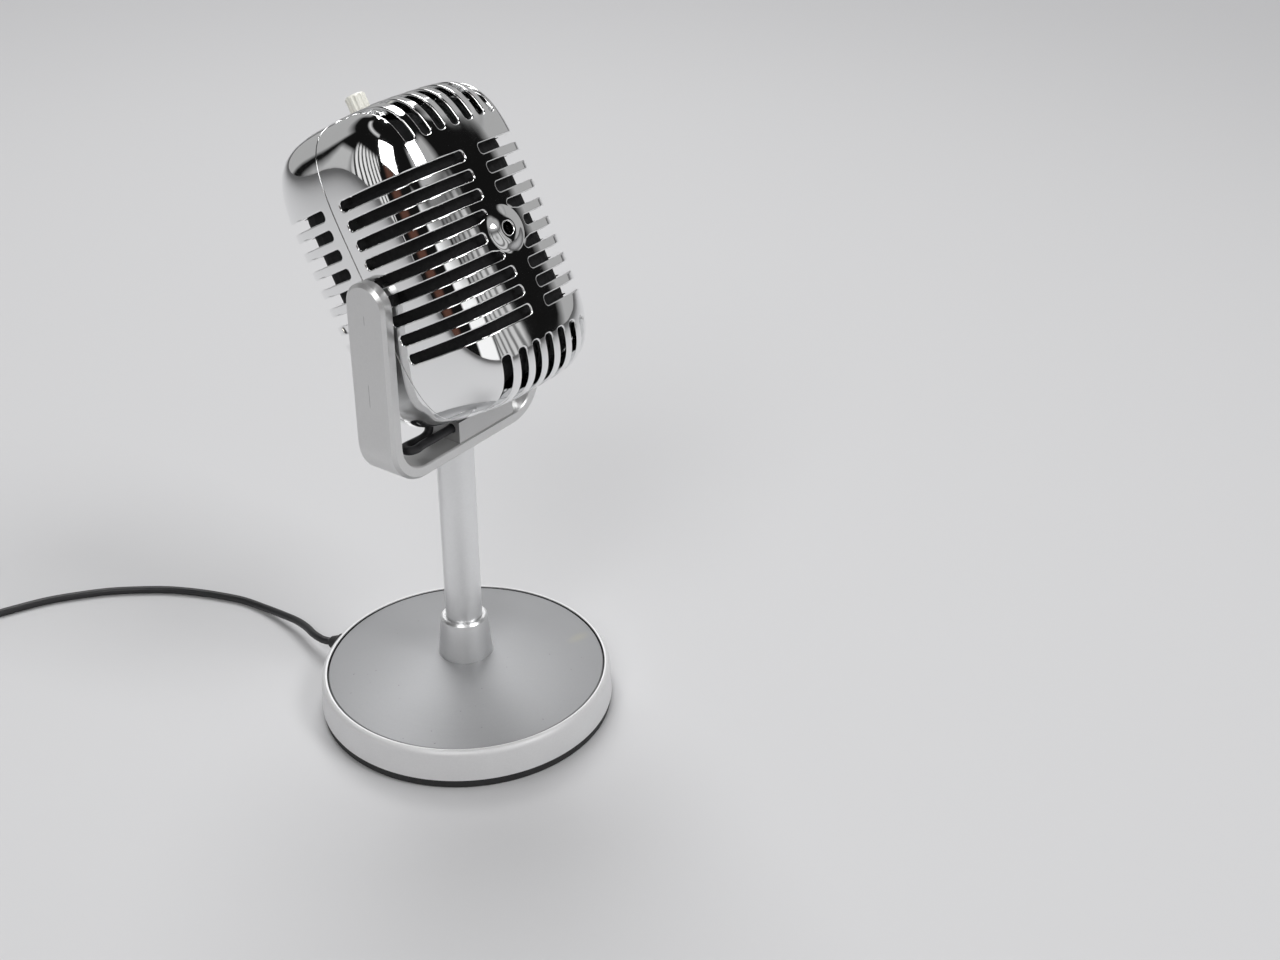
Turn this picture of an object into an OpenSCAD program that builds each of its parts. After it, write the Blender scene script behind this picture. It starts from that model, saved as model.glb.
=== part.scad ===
// Desk microphone with a slotted chrome head tilting in a U-shaped yoke on a round weighted base.
// Millimetres, +Z up, head facing -Y, origin at the centre of the base where it stands.

/* [Base] */
// Outside diameter of the base housing
base_d = 79; // [74:1:96]
// Height of the housing's rim above the desk
base_h = 11.3; // [10:0.1:16]
// How far the domed top plate rises at its centre
dome_rise = 4.9; // [3.5:0.1:7]
// Thickness of the top plate
plate_t = 1.2; // [0.8:0.1:1.6]
// Width of the rim that frames the top plate
rim_w = 2.3; // [1.8:0.1:3.5]
// Wall of the housing
housing_wall = 2.4; // [2:0.1:3]
// Thickness of the rubber foot ring
foot_t = 2.6; // [2.2:0.1:4]
// Width of the rubber foot ring
foot_w = 8; // [5:0.5:9]
// Room above the steel weight, which fills the rest of the height inside the housing
weight_room = 0.8; // [0.4:0.1:2]

/* [Stem] */
// Outside diameter of the stem tube
stem_d = 9.66; // [8.6:0.02:10.6]
// Bore of the stem tube
stem_bore = 6.4; // [5:0.1:6.6]
// Height of the collar at the foot of the stem
collar_h = 11.4; // [8:0.1:16]
// Diameter of the collar where it meets the plate
collar_low_d = 14.5; // [13:0.1:16.4]
// Diameter of the collar at its top
collar_top_d = 12.4; // [11.8:0.1:12.9]

/* [Yoke] */
// Height of the pivot axis above the desk
pivot_z = 124.8; // [118:0.2:150]
// Room between the swing of the head's lower end and the yoke's floor
head_room = 6.2; // [5.2:0.1:10]
// Thickness of the yoke bar
bar_t = 3.3; // [2.6:0.1:4.2]
// Width of the yoke bar, front to back
bar_w = 12; // [10.5:0.5:15]
// Gap between the head and each arm
arm_gap = 0.6; // [0.5:0.05:1.2]
// Inside radius of the yoke's two lower corners
corner_r = 7.7; // [5:0.1:9]
// Diameter of the pivot pins
pin_d = 4; // [3:0.1:4.6]

/* [Head] */
// Width of the head
head_w = 48.2; // [46:0.2:54]
// Depth of the head, front to back
head_depth = 49.4; // [48:0.2:52]
// Height of the head
head_h = 74.6; // [70:0.2:76]
// Wall of the two chrome shells
shell_t = 1.7; // [1.2:0.1:2]
// Tilt of the head, its top leaning back
head_tilt = 28.7; // [0:0.1:55]
// How far the pivot sits below the middle of the head
pivot_drop = 3.9; // [3:0.1:6]
// How far the pivot sits in front of the seam between the two shells
pivot_ahead = 0.6; // [0:0.1:1.2]
// Spacing of all the slots
slot_pitch = 4.66; // [4.4:0.02:4.8]
// Open height of each slot
slot_open = 2.4; // [1.8:0.1:2.8]
// Half width of the spine between the left and right slots
spine_half = 2.7; // [2.2:0.1:3.4]
// Radius of the round field in the middle of the spine
boss_r = 7; // [6:0.1:8]
// Distance from the outside of a shell to its black liner
liner_inset = 3.3; // [2.8:0.1:4]
// Diameter of the hole in the middle of the front
screw_hole_d = 3.2; // [3:0.1:3.8]

/* [Switch] */
// Diameter of the fluted push button
button_d = 5; // [4:0.1:5.4]
// How far the button stands out of the head
button_rise = 4.6; // [3:0.1:6]
// Travel of the button
button_travel = 2; // [1:0.1:2.4]

/* [Cable] */
// Diameter of the cable and the leads
cable_d = 2.2; // [1.8:0.1:2.2]
// Height of the cable's exit in the back of the base
exit_z = 5.9; // [5.8:0.1:6.2]
// How far the base and the cable's exit are turned about the stem
base_turn = 12; // [0:1:30]
// Turns in each layer of the coil
coil_turns = 5; // [3:1:5]
// Gap between the turns of the coil
turn_gap = 0.48; // [0.46:0.01:0.8]
// Diameter of the plug's moulded sleeve
plug_d = 8; // [7:0.5:10]
// Length of the plug's moulded sleeve without its strain relief
plug_len = 17; // [12:1:24]

/* [Hidden] */
$fn = 48;

fit = 0.05;          // running and seating clearance on the radius
air = 0.3;           // clearance between parts that only pass each other
past = 1;            // how far a cutting shape runs past what it cuts
cable_r = cable_d/2;

// Base
base_r = base_d/2;
plate_r = base_r - rim_w;
seat_w = 2.2;                              // ledge that carries the plate's edge
plate_sink = 0.3;                          // how far the plate's edge lies below the rim
plate_edge = 0.25;                         // bevel round the plate
seat_z = base_h - plate_sink - plate_t;    // height of that ledge
deck_t = 1.8;
deck_z = seat_z - deck_t;                  // underside of the housing's deck
dome_r = (plate_r*plate_r + dome_rise*dome_rise)/(2*dome_rise);
function dome_z(r) = base_h - plate_sink + dome_rise - dome_r + sqrt(dome_r*dome_r - r*r);
cover_t = 1.4;
cover_r = base_r - housing_wall - 0.5;
cover_top = foot_t + cover_t;
weight_r = cover_r - 1.4;
weight_z = cover_top;
weight_t = deck_z - weight_z - weight_room;
post_r = 3.2;
post_at = 25;                              // radius on which the three cover screws sit
base_screw_r = 1.3;
base_screw_head = [2.6, 1.5];              // radius and thickness
base_screw_bite = 4.3;                     // how far the screws reach into their posts
lip_r = 1.6;                               // rounding of the housing's rim
rim_gap = 0.3;                             // shadow line between rim and plate
slot_w = cable_d + 1;                      // way for the lead through the weight
neck_r = 1.9;                              // cable grommet: neck, and collar outside the wall
gland_r = 2.9;
gland_len = 4;
catch_t = 1.2;                             // grommet's catch inside the wall
lead_stop = base_r - housing_wall + 0.9;   // where the lead ends inside the grommet

// Stem, its nut under the deck, and collar
stem_r = stem_d/2;
bore_r = stem_bore/2;
thread_r = bore_r + 0.7;                   // reduced foot of the stem
nut_t = 2.4;
nut_r = thread_r + 3;                      // across its corners
pocket_r = nut_r + 0.7;
hub_r = pocket_r + 1.6;
pocket_z = deck_z + nut_t;                 // ceiling of the nut's pocket
collar_z = dome_z(collar_low_d/2) + 0.02;
shoulder_z = pocket_z + 1.4;               // where the stem's shoulder stands
hub_top = dome_z(hub_r) - plate_t - 0.15;
spigot_wall = 0.8;
spigot_r = bore_r;                         // reduced head of the stem, set into the yoke

// Head, in its own frame: middle at the origin, front towards -Y, upright
hw = head_w/2;
hd = head_depth/2;
hh = head_h/2;
plan_n = 3.5;                              // roundness of the outline seen from above
side_n = 4.7;                              // roundness of the outlines seen from front and side
seam = 0.1;                                // each shell stops this far from the seam plane
land = 3.1;                                // plain band beside the seam, no slots
cut = 9;                                   // depth to which a slot is cut from each side
top_start = 25.7;                          // height on the face where the top slots begin
skin_steps = [12, 8];                      // outer skin: points in a quarter of its outline, levels up
wall_steps = [9, 6];                       // the same inside the wall
rows = 4;                                  // slot rows above and below the middle one
cols = 3;                                  // top slots on each side of the middle one
boss_rise = 0.6;
boss_face = 4.3;
head_post = 3.6;
screw_head_r = 1.5;
screw_r = 0.9;
head_seat_y = -16;                         // where the case screw's head rests
screw_tip_y = 10;

// Inside the head
core_t = 1;
core_y = -0.9;                             // front face of the core plate
liner_t = 0.8;
core_hw = hw - liner_inset - 0.3;
core_hh = hh - liner_inset - 0.3;
capsule_r = 4.85;
capsule_len = 6.6;
boot_wall = 1.2;
capsule_drop = 19.7;
capsule_z = core_hh - capsule_drop;        // middle of the capsule, below the core plate's top
board_w = 20;
board_t = 1.2;
switch_y = 3.2;
switch_w = 6;
switch_top = hh - shell_t - 3.4;
switch_h = 8;
board_y = switch_y + switch_w/2;
board_top = switch_top - 1;
board_h = 20.2;
board_low = board_top - board_h;
standoff_r = 2;
standoff_x = 7;
standoff_z = board_low + 4;
board_screw_d = 1.6;
button_r = button_d/2;
button_stem_r = 1.4;
button_low = switch_top - 3.6;
flutes = 10;
bush_r = 4.2;
bush_gap = 0.35;                           // between each bush and the curved inside of the shell
pin_r = pin_d/2;
pin_in_arm = bar_t - 1.2;
pin_in_head = 5;
arm_in = hw + arm_gap;                     // inner face of each arm
washer_t = arm_gap - 0.2;
washer_w = 2;                              // width of the washer's ring

// Yoke's floor, below the furthest that the head's lower half comes from the pivot
head_reach = max([for (p = squircle(hd, hh, side_n, 60)) if (p[1] < -pivot_drop)
    norm([abs(p[0]) + pivot_ahead, p[1] + pivot_drop])]);
floor_z = pivot_z - head_reach - head_room;   // top of the yoke's floor
under_z = floor_z - bar_t;                    // underside of the yoke

// Hollow cover on the yoke's floor over the stem, and the lead's way out of its side
hood_left = -4.2;
hood_right = arm_in - corner_r - 0.4;
hood_gap = 0.5;                            // between the hood and the head's swing
hood_top = pivot_z - head_reach - hood_gap;
hood_hw = bar_w/2 - 0.4;
hood_wall = 1;
lead_z = hood_top - hood_wall - cable_r - 0.1;
lead_y = -3;
loop_left = corner_r - arm_in - 0.2;       // where the lead's loop turns back
lead_in = [-2*slot_pitch, 17.2];           // slot, and place in it, where the lead goes into the head

// Cable
lift = 0.45;                               // the tie's thickness, which the coil stands on
turn_pitch = cable_d + turn_gap;
coil_mid_r = 5.9*cable_d;
coil_out_r = coil_mid_r + coil_turns*turn_pitch/2;
coil_layers = 4;
coil_at = [-62, 167];
coil_start = -128;                         // angle at which the cable joins the coil
coil_z = cable_r + lift;
coil_steps = 24;                           // points in each turn
coil_top = coil_z + (coil_layers - 1)*turn_pitch;
coil_way = [sin(coil_start), -cos(coil_start), 0];
coil_join = [coil_at[0] + coil_out_r*cos(coil_start), coil_at[1] + coil_out_r*sin(coil_start), 0];
plug_at = [-67, 194];                      // middle of the back end of the plug's strain relief
plug_turn = 8;                             // direction in which the plug points
relief_len = 9;
jack_r = 1.75;
jack_len = 14;
ring_at = [7.2, 10.2];                     // the insulating rings' places on the jack
ring_t = 1;
ring_depth = 0.35;
plug_z = plug_d/2;
plug_way = [cos(plug_turn), sin(plug_turn), 0];
gland_end = base_r + gland_len;
exit_way = [-sin(base_turn), cos(base_turn), 0];

// Hand-chosen route of the cable from the grommet down to the desk and over it to the coil
cable_route = concat([for (d = [0, 3]) gland_end*exit_way + d*exit_way + [0, 0, exit_z - 0.03*d]],
    [[-8.8, 50, 5.5], [-7.2, 54, 5], [-5.4, 60, 4], [-4.2, 68, 2.6], [-3.6, 76, 1.5], [-4, 84, cable_r],
    [-6, 91, cable_r], [-9, 99, cable_r], [-13, 107, cable_r], [-18, 114, cable_r], [-24, 121, cable_r],
    [-31, 127, cable_r], [-38, 132, cable_r], [-46, 136, cable_r], [-55, 140, cable_r + 0.1]],
    [for (d = [8, cable_d]) coil_join - d*coil_way + [0, 0, coil_z]]);

// Hand-chosen route of the short tail from the top of the coil to the plug
tail_route = concat([for (d = [cable_d, 5]) coil_join + d*coil_way + [0, 0, coil_top]],
    [[-83, 157.2, 7.8], [-86.9, 164.8, 5], [-86.7, 173.7, 3], [-81.8, 183.6, 2.6], [-74.9, 190.9, 3.4]],
    [for (d = [3.5, 0]) [plug_at[0], plug_at[1], plug_z] - d*plug_way]);

// Smooth curve through points, n steps from each to the next
function bend(a, b, c, d, t) = 0.5*(2*b + (c - a)*t + (2*a - 5*b + 4*c - d)*t*t + (3*b - a - 3*c + d)*t*t*t);
function smooth(p, n) = concat([for (i = [0:len(p)-2]) for (k = [0:n-1])
    bend(p[max(i-1, 0)], p[i], p[i+1], p[min(i+2, len(p)-1)], k/n)], [p[len(p)-1]]);
function unit(v) = v/norm(v);

// Tube of radius r along points p; ref is any direction that the tube never takes
module tube(p, r, sides, ref = [0, 0, 1]) {
    n = len(p);
    ring = [for (i = [0:n-1])
        let (t = unit(p[min(i+1, n-1)] - p[max(i-1, 0)]), u = unit(cross(t, ref)), v = cross(u, t))
        for (k = [0:sides-1]) p[i] + r*(cos(360*k/sides)*u + sin(360*k/sides)*v)];
    skin = [for (i = [0:n-2]) for (k = [0:sides-1])
        let (a = i*sides + k, b = i*sides + (k + 1)%sides)
        each [[a, b, a + sides], [b, b + sides, a + sides]]];
    near = [for (k = [1:sides-2]) [0, k + 1, k]];
    far = [for (k = [1:sides-2]) [(n-1)*sides, (n-1)*sides + k, (n-1)*sides + k + 1]];
    polyhedron(points = ring, faces = concat(skin, near, far));
}

// Tube of the leads' thickness, with a level reference so that it can run straight up
module lead_tube(p) { tube(p, cable_r, 8, [1, 0.35, 0]); }

// Point of the head's own frame, in the frame of the whole object
function from_head(p) = let (y = p[1] + pivot_ahead, z = p[2] + pivot_drop)
    [p[0], y*cos(head_tilt) + z*sin(head_tilt), pivot_z - y*sin(head_tilt) + z*cos(head_tilt)];

lead_up = from_head([lead_in[0], lead_in[1], -hh]);
lead_rise = 2.4;                           // how far above the slot the two leads meet
lead_end = lead_up + [0, 0, lead_rise];
back_y = lead_up[1];

module place_head() {
    translate([0, 0, pivot_z]) rotate([-head_tilt, 0, 0]) translate([0, pivot_ahead, pivot_drop]) children();
}

module mirror_x() {
    children();
    mirror([1, 0, 0]) children();
}

// Points of an arc in the plane of the drawing
function arc(c, r, from, to, n = 8) = [for (i = [0:n]) let (a = from + (to - from)*i/n) c + r*[cos(a), sin(a)]];

// Rounded-square outline with half sizes a and b
function squircle(a, b, n, steps = 14) = [for (i = [0:4*steps-1]) let (t = 90*i/steps, c = cos(t), s = sin(t))
    [a*sign(c)*pow(abs(c), 2/n), b*sign(s)*pow(abs(s), 2/n)]];

// Base
module turn_base() { rotate([0, 0, base_turn]) children(); }

module at_base_screws() {
    for (i = [0:2]) rotate([0, 0, base_turn + 150 + 120*i]) translate([post_at, 0, 0]) children();
}

module base_housing() {
    low = foot_t;
    inner = base_r - housing_wall;
    lean = 0.4;
    lip_out = arc([base_r - lean - lip_r, base_h - lip_r], lip_r, 0, 90);
    lip_in = arc([plate_r + rim_gap + 0.5, base_h - 0.5], 0.5, 90, 180, 4);
    hub = [[hub_r, deck_z + deck_t], [hub_r, hub_top], [stem_r + fit, hub_top], [stem_r + fit, shoulder_z],
        [thread_r + fit, shoulder_z], [thread_r + fit, pocket_z], [pocket_r, pocket_z], [pocket_r, deck_z]];
    color([0.78, 0.78, 0.77]) difference() {
        union() {
            rotate_extrude($fn = 128) polygon(concat([[inner, low], [base_r, low]], lip_out, lip_in,
                [[plate_r + rim_gap, deck_z + deck_t]], hub, [[inner, deck_z]]));
            at_base_screws() translate([0, 0, cover_top]) cylinder(r = post_r, h = deck_z - cover_top + 0.5);
        }
        at_base_screws() translate([0, 0, cover_top - past])
            cylinder(r = base_screw_r + fit, h = past + base_screw_bite + 0.7);
        turn_base() translate([0, 0, exit_z]) rotate([-90, 0, 0]) cylinder(r = neck_r + fit, h = base_r + past);
    }
}

module top_plate() {
    seat = plate_r - seat_w;
    steps = 16;
    hole = stem_r + 0.2;
    top = [for (i = [0:steps]) let (r = hole + (plate_r - plate_edge - hole)*i/steps) [r, dome_z(r)]];
    under = [for (i = [0:steps]) let (r = seat + (hole - seat)*i/steps) [r, dome_z(r) - plate_t]];
    color([0.7, 0.7, 0.69]) rotate_extrude($fn = 128)
        polygon(concat(top, [[plate_r, base_h - plate_sink - plate_edge], [plate_r, seat_z], [seat, seat_z]], under));
}

module rubber_foot() {
    out = base_r - 0.3;
    edge = 0.4;
    color([0.12, 0.12, 0.12]) rotate_extrude($fn = 128)
        polygon([[out - foot_w, 0], [out - edge, 0], [out, edge], [out, foot_t], [out - foot_w, foot_t]]);
}

module base_cover() {
    color([0.2, 0.2, 0.2]) difference() {
        translate([0, 0, foot_t]) cylinder(r = cover_r, h = cover_t, $fn = 128);
        at_base_screws() cylinder(r = base_screw_r + 0.3, h = 2*cover_top);
    }
}

module weight_disc() {
    color([0.45, 0.45, 0.47]) translate([0, 0, weight_z]) difference() {
        cylinder(r = weight_r, h = weight_t, $fn = 96);
        translate([0, 0, -past]) cylinder(r = pocket_r + 1, h = weight_t + 2*past);
        turn_base() translate([-slot_w/2, 0, -past]) cube([slot_w, base_r, weight_t + 2*past]);
        at_base_screws() translate([0, 0, -past]) cylinder(r = post_r + 0.5, h = weight_t + 2*past);
    }
}

module base_screws() {
    head = base_screw_head;
    color([0.6, 0.6, 0.62]) at_base_screws() difference() {
        union() {
            translate([0, 0, foot_t - head[1]]) cylinder(r = head[0], h = head[1]);
            translate([0, 0, foot_t - 0.1]) cylinder(r = base_screw_r, h = cover_t + base_screw_bite);
        }
        for (a = [0, 90]) rotate([0, 0, a]) translate([-1.5, -0.3, foot_t - head[1] - past])
            cube([3, 0.6, past + 0.8]);
    }
}

module cable_grommet() {
    inner = base_r - housing_wall;
    color([0.1, 0.1, 0.1]) turn_base() difference() {
        union() {
            translate([0, 0, exit_z]) rotate([-90, 0, 0]) rotate_extrude()
                polygon([[0, inner - 0.6], [neck_r, inner - 0.6], [neck_r, base_r + 0.05],
                    [gland_r, base_r + 0.05], [gland_r, base_r + 1.4], [gland_r - 0.5, base_r + 1.9],
                    [cable_r + 0.5, base_r + gland_len], [0, base_r + gland_len]]);
            translate([-3, inner - 0.3 - catch_t, cover_top + 0.1]) cube([6, catch_t, deck_z - cover_top - 0.2]);
        }
        translate([0, inner - 0.3 - catch_t - past, exit_z]) rotate([-90, 0, 0])
            cylinder(r = cable_r + fit, h = lead_stop - inner + 0.3 + catch_t + past);
    }
}

// Stem
module stem_collar() {
    foot = collar_low_d/2;
    top = collar_top_d/2;
    edge = 0.5;
    bore = stem_r + fit;
    color([0.78, 0.78, 0.77]) rotate_extrude($fn = 96) polygon([[bore, dome_z(bore) + 0.02], [foot, collar_z],
        [foot, collar_z + 0.6], [top, collar_z + collar_h - edge], [top - edge, collar_z + collar_h],
        [bore, collar_z + collar_h]]);
}

module stem_tube() {
    color([0.8, 0.8, 0.79]) rotate_extrude($fn = 96) polygon([[bore_r, deck_z + 0.2], [thread_r, deck_z + 0.2],
        [thread_r, shoulder_z], [stem_r, shoulder_z], [stem_r, under_z], [spigot_r, under_z],
        [spigot_r, floor_z - 0.2], [spigot_r - spigot_wall, floor_z - 0.2],
        [spigot_r - spigot_wall, under_z - 3], [bore_r, under_z - 4]]);
}

module stem_nut() {
    color([0.6, 0.6, 0.62]) translate([0, 0, deck_z]) difference() {
        cylinder(r = nut_r, h = nut_t, $fn = 6);
        translate([0, 0, -past]) cylinder(r = thread_r + fit, h = nut_t + 2*past);
    }
}

// Yoke
// Cross-section of the bar: thickness along x from its inner face, width along y
module bar_section() {
    c = 0.8;
    i = 0.3;
    w = bar_w/2;
    polygon([[0, i - w], [i, -w], [bar_t - c, -w], [bar_t, c - w],
        [bar_t, w - c], [bar_t - c, w], [i, w], [0, w - i]]);
}

module arm_end() {
    c = 0.8;
    i = 0.3;
    w = bar_w/2;
    rotate([0, 90, 0]) rotate_extrude($fn = 64)
        polygon([[0, 0], [w - i, 0], [w, i], [w, bar_t - c], [w - c, bar_t], [0, bar_t]]);
}

module yoke() {
    corner_z = floor_z + corner_r;
    corner_x = arm_in - corner_r;
    color([0.68, 0.68, 0.67]) difference() {
        union() {
            mirror_x() {
                translate([arm_in, 0, corner_z]) linear_extrude(pivot_z - corner_z) bar_section();
                translate([arm_in, 0, pivot_z]) arm_end();
                translate([corner_x, 0, corner_z]) rotate([90, 0, 0]) rotate([0, 0, -90])
                    rotate_extrude(angle = 90, $fn = 96) translate([corner_r, 0]) bar_section();
            }
            translate([-corner_x, 0, floor_z]) rotate([0, 90, 0]) linear_extrude(2*corner_x) bar_section();
        }
        translate([0, 0, under_z - past]) cylinder(r = spigot_r + fit, h = bar_t + 2*past);
        mirror_x() translate([arm_in - past, 0, pivot_z]) rotate([0, 90, 0])
            cylinder(r = pin_r + fit/2, h = past + pin_in_arm + 0.1);
    }
}

module lead_hood() {
    color([0.6, 0.6, 0.6]) difference() {
        translate([hood_left, -hood_hw, floor_z]) cube([hood_right - hood_left, 2*hood_hw, hood_top - floor_z]);
        translate([hood_left + hood_wall, hood_wall - hood_hw, floor_z - past])
            cube([hood_right - hood_left - 2*hood_wall, 2*(hood_hw - hood_wall),
                hood_top - floor_z + past - hood_wall]);
        translate([hood_left - past, lead_y, lead_z]) rotate([0, 90, 0])
            cylinder(r = cable_r + 0.25, h = 2*past + hood_wall);
    }
}

module pivot_pins() {
    color([0.7, 0.7, 0.7]) mirror_x() translate([hw - pin_in_head, 0, pivot_z]) rotate([0, 90, 0])
        cylinder(r = pin_r, h = pin_in_head + arm_gap + pin_in_arm);
}

module pivot_washers() {
    color([0.15, 0.15, 0.15]) mirror_x() translate([arm_in - washer_t - 0.05, 0, pivot_z])
        rotate([0, 90, 0]) difference() {
            cylinder(r = pin_r + washer_w, h = washer_t);
            translate([0, 0, -past]) cylinder(r = pin_r + 0.1, h = washer_t + 2*past);
        }
}

// Head, drawn upright about its own middle
// Solid t inside the outer skin: the rounded-square outline at each level, drawn in towards top and bottom
module pillow(t, steps = wall_steps) {
    rim = squircle(hw - t, hd - t, plan_n, steps[0]);
    last = 84;
    levels = [for (i = [-steps[1]:steps[1]]) let (a = last*i/steps[1])
        [pow(cos(a), 2/side_n), (hh - t)*sign(i)*pow(abs(sin(a))/sin(last), 2/side_n)]];
    n = len(rim);
    top = len(levels) - 1;
    polyhedron(points = [for (l = levels) for (p = rim) [p[0]*l[0], p[1]*l[0], l[1]]],
        faces = concat([[for (k = [0:n-1]) k]], [[for (k = [n-1:-1:0]) top*n + k]],
            [for (i = [0:top-1]) for (k = [0:n-1]) let (b = (k + 1)%n)
                [i*n + k, (i + 1)*n + k, (i + 1)*n + b, i*n + b]]));
}

// Slots of the front half, in three patterns: seen from the front, from the side and from above
module row_levels() { for (i = [-rows:rows]) translate([0, i*slot_pitch]) children(); }
module col_places() { for (i = [-cols:cols]) translate([i*slot_pitch, 0]) children(); }

module rounded_start() {
    r = slot_open/2;
    translate([r, 0]) circle(r = r, $fn = 24);
    translate([r, -r]) square([hh, 2*r]);
}

module front_pattern() {
    difference() {
        mirror_x() row_levels() translate([spine_half, 0]) rounded_start();
        circle(r = boss_r, $fn = 64);
    }
    for (s = [0, 1]) mirror([0, s]) col_places() translate([0, top_start]) rotate(90) rounded_start();
}

module half_slots() {
    back = land + slot_open/2;
    translate([0, -back, 0]) rotate([90, 0, 0]) linear_extrude(hd - back + past) front_pattern();
    mirror_x() translate([hw - cut, 0, 0]) rotate([90, 0, 90]) linear_extrude(cut + past)
        row_levels() translate([-land, 0]) rotate(180) rounded_start();
    for (s = [0, 1]) mirror([0, 0, s]) translate([0, 0, hh - cut]) linear_extrude(cut + past)
        col_places() translate([0, -land]) rotate(-90) rounded_start();
}

// Plain wall t of the half of the case in front of the seam
module half_case(t) {
    difference() {
        pillow(0, skin_steps);
        pillow(t);
        translate([-hw - past, -seam, -hh - past]) cube([2*(hw + past), hd + past + seam, 2*(hh + past)]);
    }
}

module pivot_bore(r) {
    mirror_x() translate([hw - pin_in_head - past, -pivot_ahead, -pivot_drop]) rotate([0, 90, 0])
        cylinder(r = r, h = pin_in_head + 2*past);
}

module front_shell() {
    face_y = -hd - boss_rise;
    color([0.85, 0.85, 0.86]) place_head() difference() {
        union() {
            difference() {
                half_case(shell_t);
                half_slots();
            }
            translate([0, core_y - 0.02, 0]) rotate([90, 0, 0]) cylinder(r = head_post, h = hd - 1 + core_y);
            translate([0, -hd + 1, 0]) rotate([90, 0, 0])
                cylinder(r1 = boss_face + 1.6, r2 = boss_face, h = 1 + boss_rise);
        }
        translate([0, head_seat_y, 0]) rotate([90, 0, 0]) cylinder(r = screw_hole_d/2, h = hd + past);
        translate([0, 0, 0]) rotate([90, 0, 0]) cylinder(r = screw_r + fit, h = hd);
        pivot_bore(pin_r + fit);
    }
}

module rear_shell() {
    color([0.85, 0.85, 0.86]) place_head() difference() {
        union() {
            difference() {
                rotate([0, 0, 180]) half_case(shell_t);
                difference() {
                    rotate([0, 0, 180]) half_slots();
                    translate([0, switch_y, 0]) cylinder(r = button_r + 2.6, h = hh + past);
                    translate([0, hd, 0]) rotate([90, 0, 0]) cylinder(r = boss_r, h = cut);
                }
            }
            translate([0, hd - 1, 0]) rotate([90, 0, 0])
                cylinder(r = head_post, h = hd - 1 - core_y - core_t - 0.02);
        }
        translate([0, -past, 0]) rotate([-90, 0, 0]) cylinder(r = screw_r + fit, h = past + screw_tip_y + 0.5);
        translate([0, switch_y, 0]) cylinder(r = button_r + 0.25, h = hh + past);
        pivot_bore(pin_r + fit);
    }
}

module half_liner() {
    difference() {
        pillow(liner_inset);
        pillow(liner_inset + liner_t);
        translate([-hw, core_y - 0.02, -hh]) cube([2*hw, hd + past, 2*hh]);
        rotate([90, 0, 0]) cylinder(r = head_post + air, h = hd);
        pivot_bore(bush_r + air);
    }
}

module front_liner() { color([0.06, 0.06, 0.06]) place_head() half_liner(); }

module rear_liner() {
    rim = core_y + core_t + 0.02;
    color([0.06, 0.06, 0.06]) place_head() difference() {
        pillow(liner_inset);
        pillow(liner_inset + liner_t);
        translate([-hw, rim - hd - past, -hh]) cube([2*hw, hd + past, 2*hh]);
        rotate([-90, 0, 0]) cylinder(r = head_post + air, h = hd);
        pivot_bore(bush_r + air);
        translate([-button_r - 0.6, -past, 0]) cube([2*button_r + 1.2, past + switch_y + button_r + 0.6, hh]);
        translate([lead_in[0], lead_in[1] - 2.2, -hh]) cylinder(r = cable_r + 0.7, h = hh);
    }
}

module core_plate() {
    rear = core_y + core_t;
    color([0.15, 0.25, 0.2]) place_head() difference() {
        union() {
            translate([0, rear, 0]) rotate([90, 0, 0]) linear_extrude(core_t)
                polygon(squircle(core_hw, core_hh, side_n));
            mirror_x() translate([standoff_x, rear - 0.1, standoff_z]) rotate([-90, 0, 0])
                cylinder(r = standoff_r, h = board_y - rear + 0.1);
        }
        rotate([90, 0, 0]) translate([0, 0, -hd]) cylinder(r = screw_r + 0.2, h = 2*hd);
        mirror_x() translate([standoff_x, rear + 0.5, standoff_z]) rotate([-90, 0, 0])
            cylinder(r = board_screw_d/2 + fit, h = board_y);
        pivot_bore(bush_r + air);
        translate([-button_r - 0.6, -hd, switch_top + 0.3]) cube([2*button_r + 1.2, 2*hd, hh]);
    }
}

module case_screw() {
    color([0.7, 0.7, 0.7]) place_head() difference() {
        union() {
            translate([0, head_seat_y, 0]) rotate([90, 0, 0]) cylinder(r = screw_head_r, h = 1.4);
            translate([0, screw_tip_y, 0]) rotate([90, 0, 0])
                cylinder(r = screw_r, h = screw_tip_y - head_seat_y + 0.1);
        }
        for (a = [0, 90]) translate([0, head_seat_y - 1.4 - past, 0]) rotate([0, a, 0])
            translate([-1, 0, -0.2]) cube([2, past + 0.7, 0.4]);
    }
}

module pivot_bushes() {
    len = 3.2;
    color([0.75, 0.7, 0.5]) place_head() mirror_x()
        translate([hw - shell_t - bush_gap - len, -pivot_ahead, -pivot_drop]) rotate([0, 90, 0]) difference() {
            cylinder(r = bush_r, h = len);
            translate([0, 0, -past]) cylinder(r = pin_r + fit, h = len + 2*past);
        }
}

module capsule_boot() {
    color([0.1, 0.1, 0.1]) place_head() translate([0, core_y, capsule_z]) rotate([90, 0, 0]) difference() {
        cylinder(r = capsule_r + boot_wall, h = capsule_len + 0.8);
        translate([0, 0, 0.8]) cylinder(r = capsule_r + 0.03, h = capsule_len + past);
        translate([0, 0, -past]) cylinder(r = 2, h = 2 + past);
    }
}

module mic_capsule() {
    color([0.7, 0.7, 0.7]) place_head() translate([0, core_y - 0.8, capsule_z]) rotate([90, 0, 0]) difference() {
        cylinder(r = capsule_r, h = capsule_len);
        for (a = [0:60:300]) rotate([0, 0, a]) translate([2.2, 0, capsule_len - 0.6]) cylinder(r = 0.5, h = past);
    }
}

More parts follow.
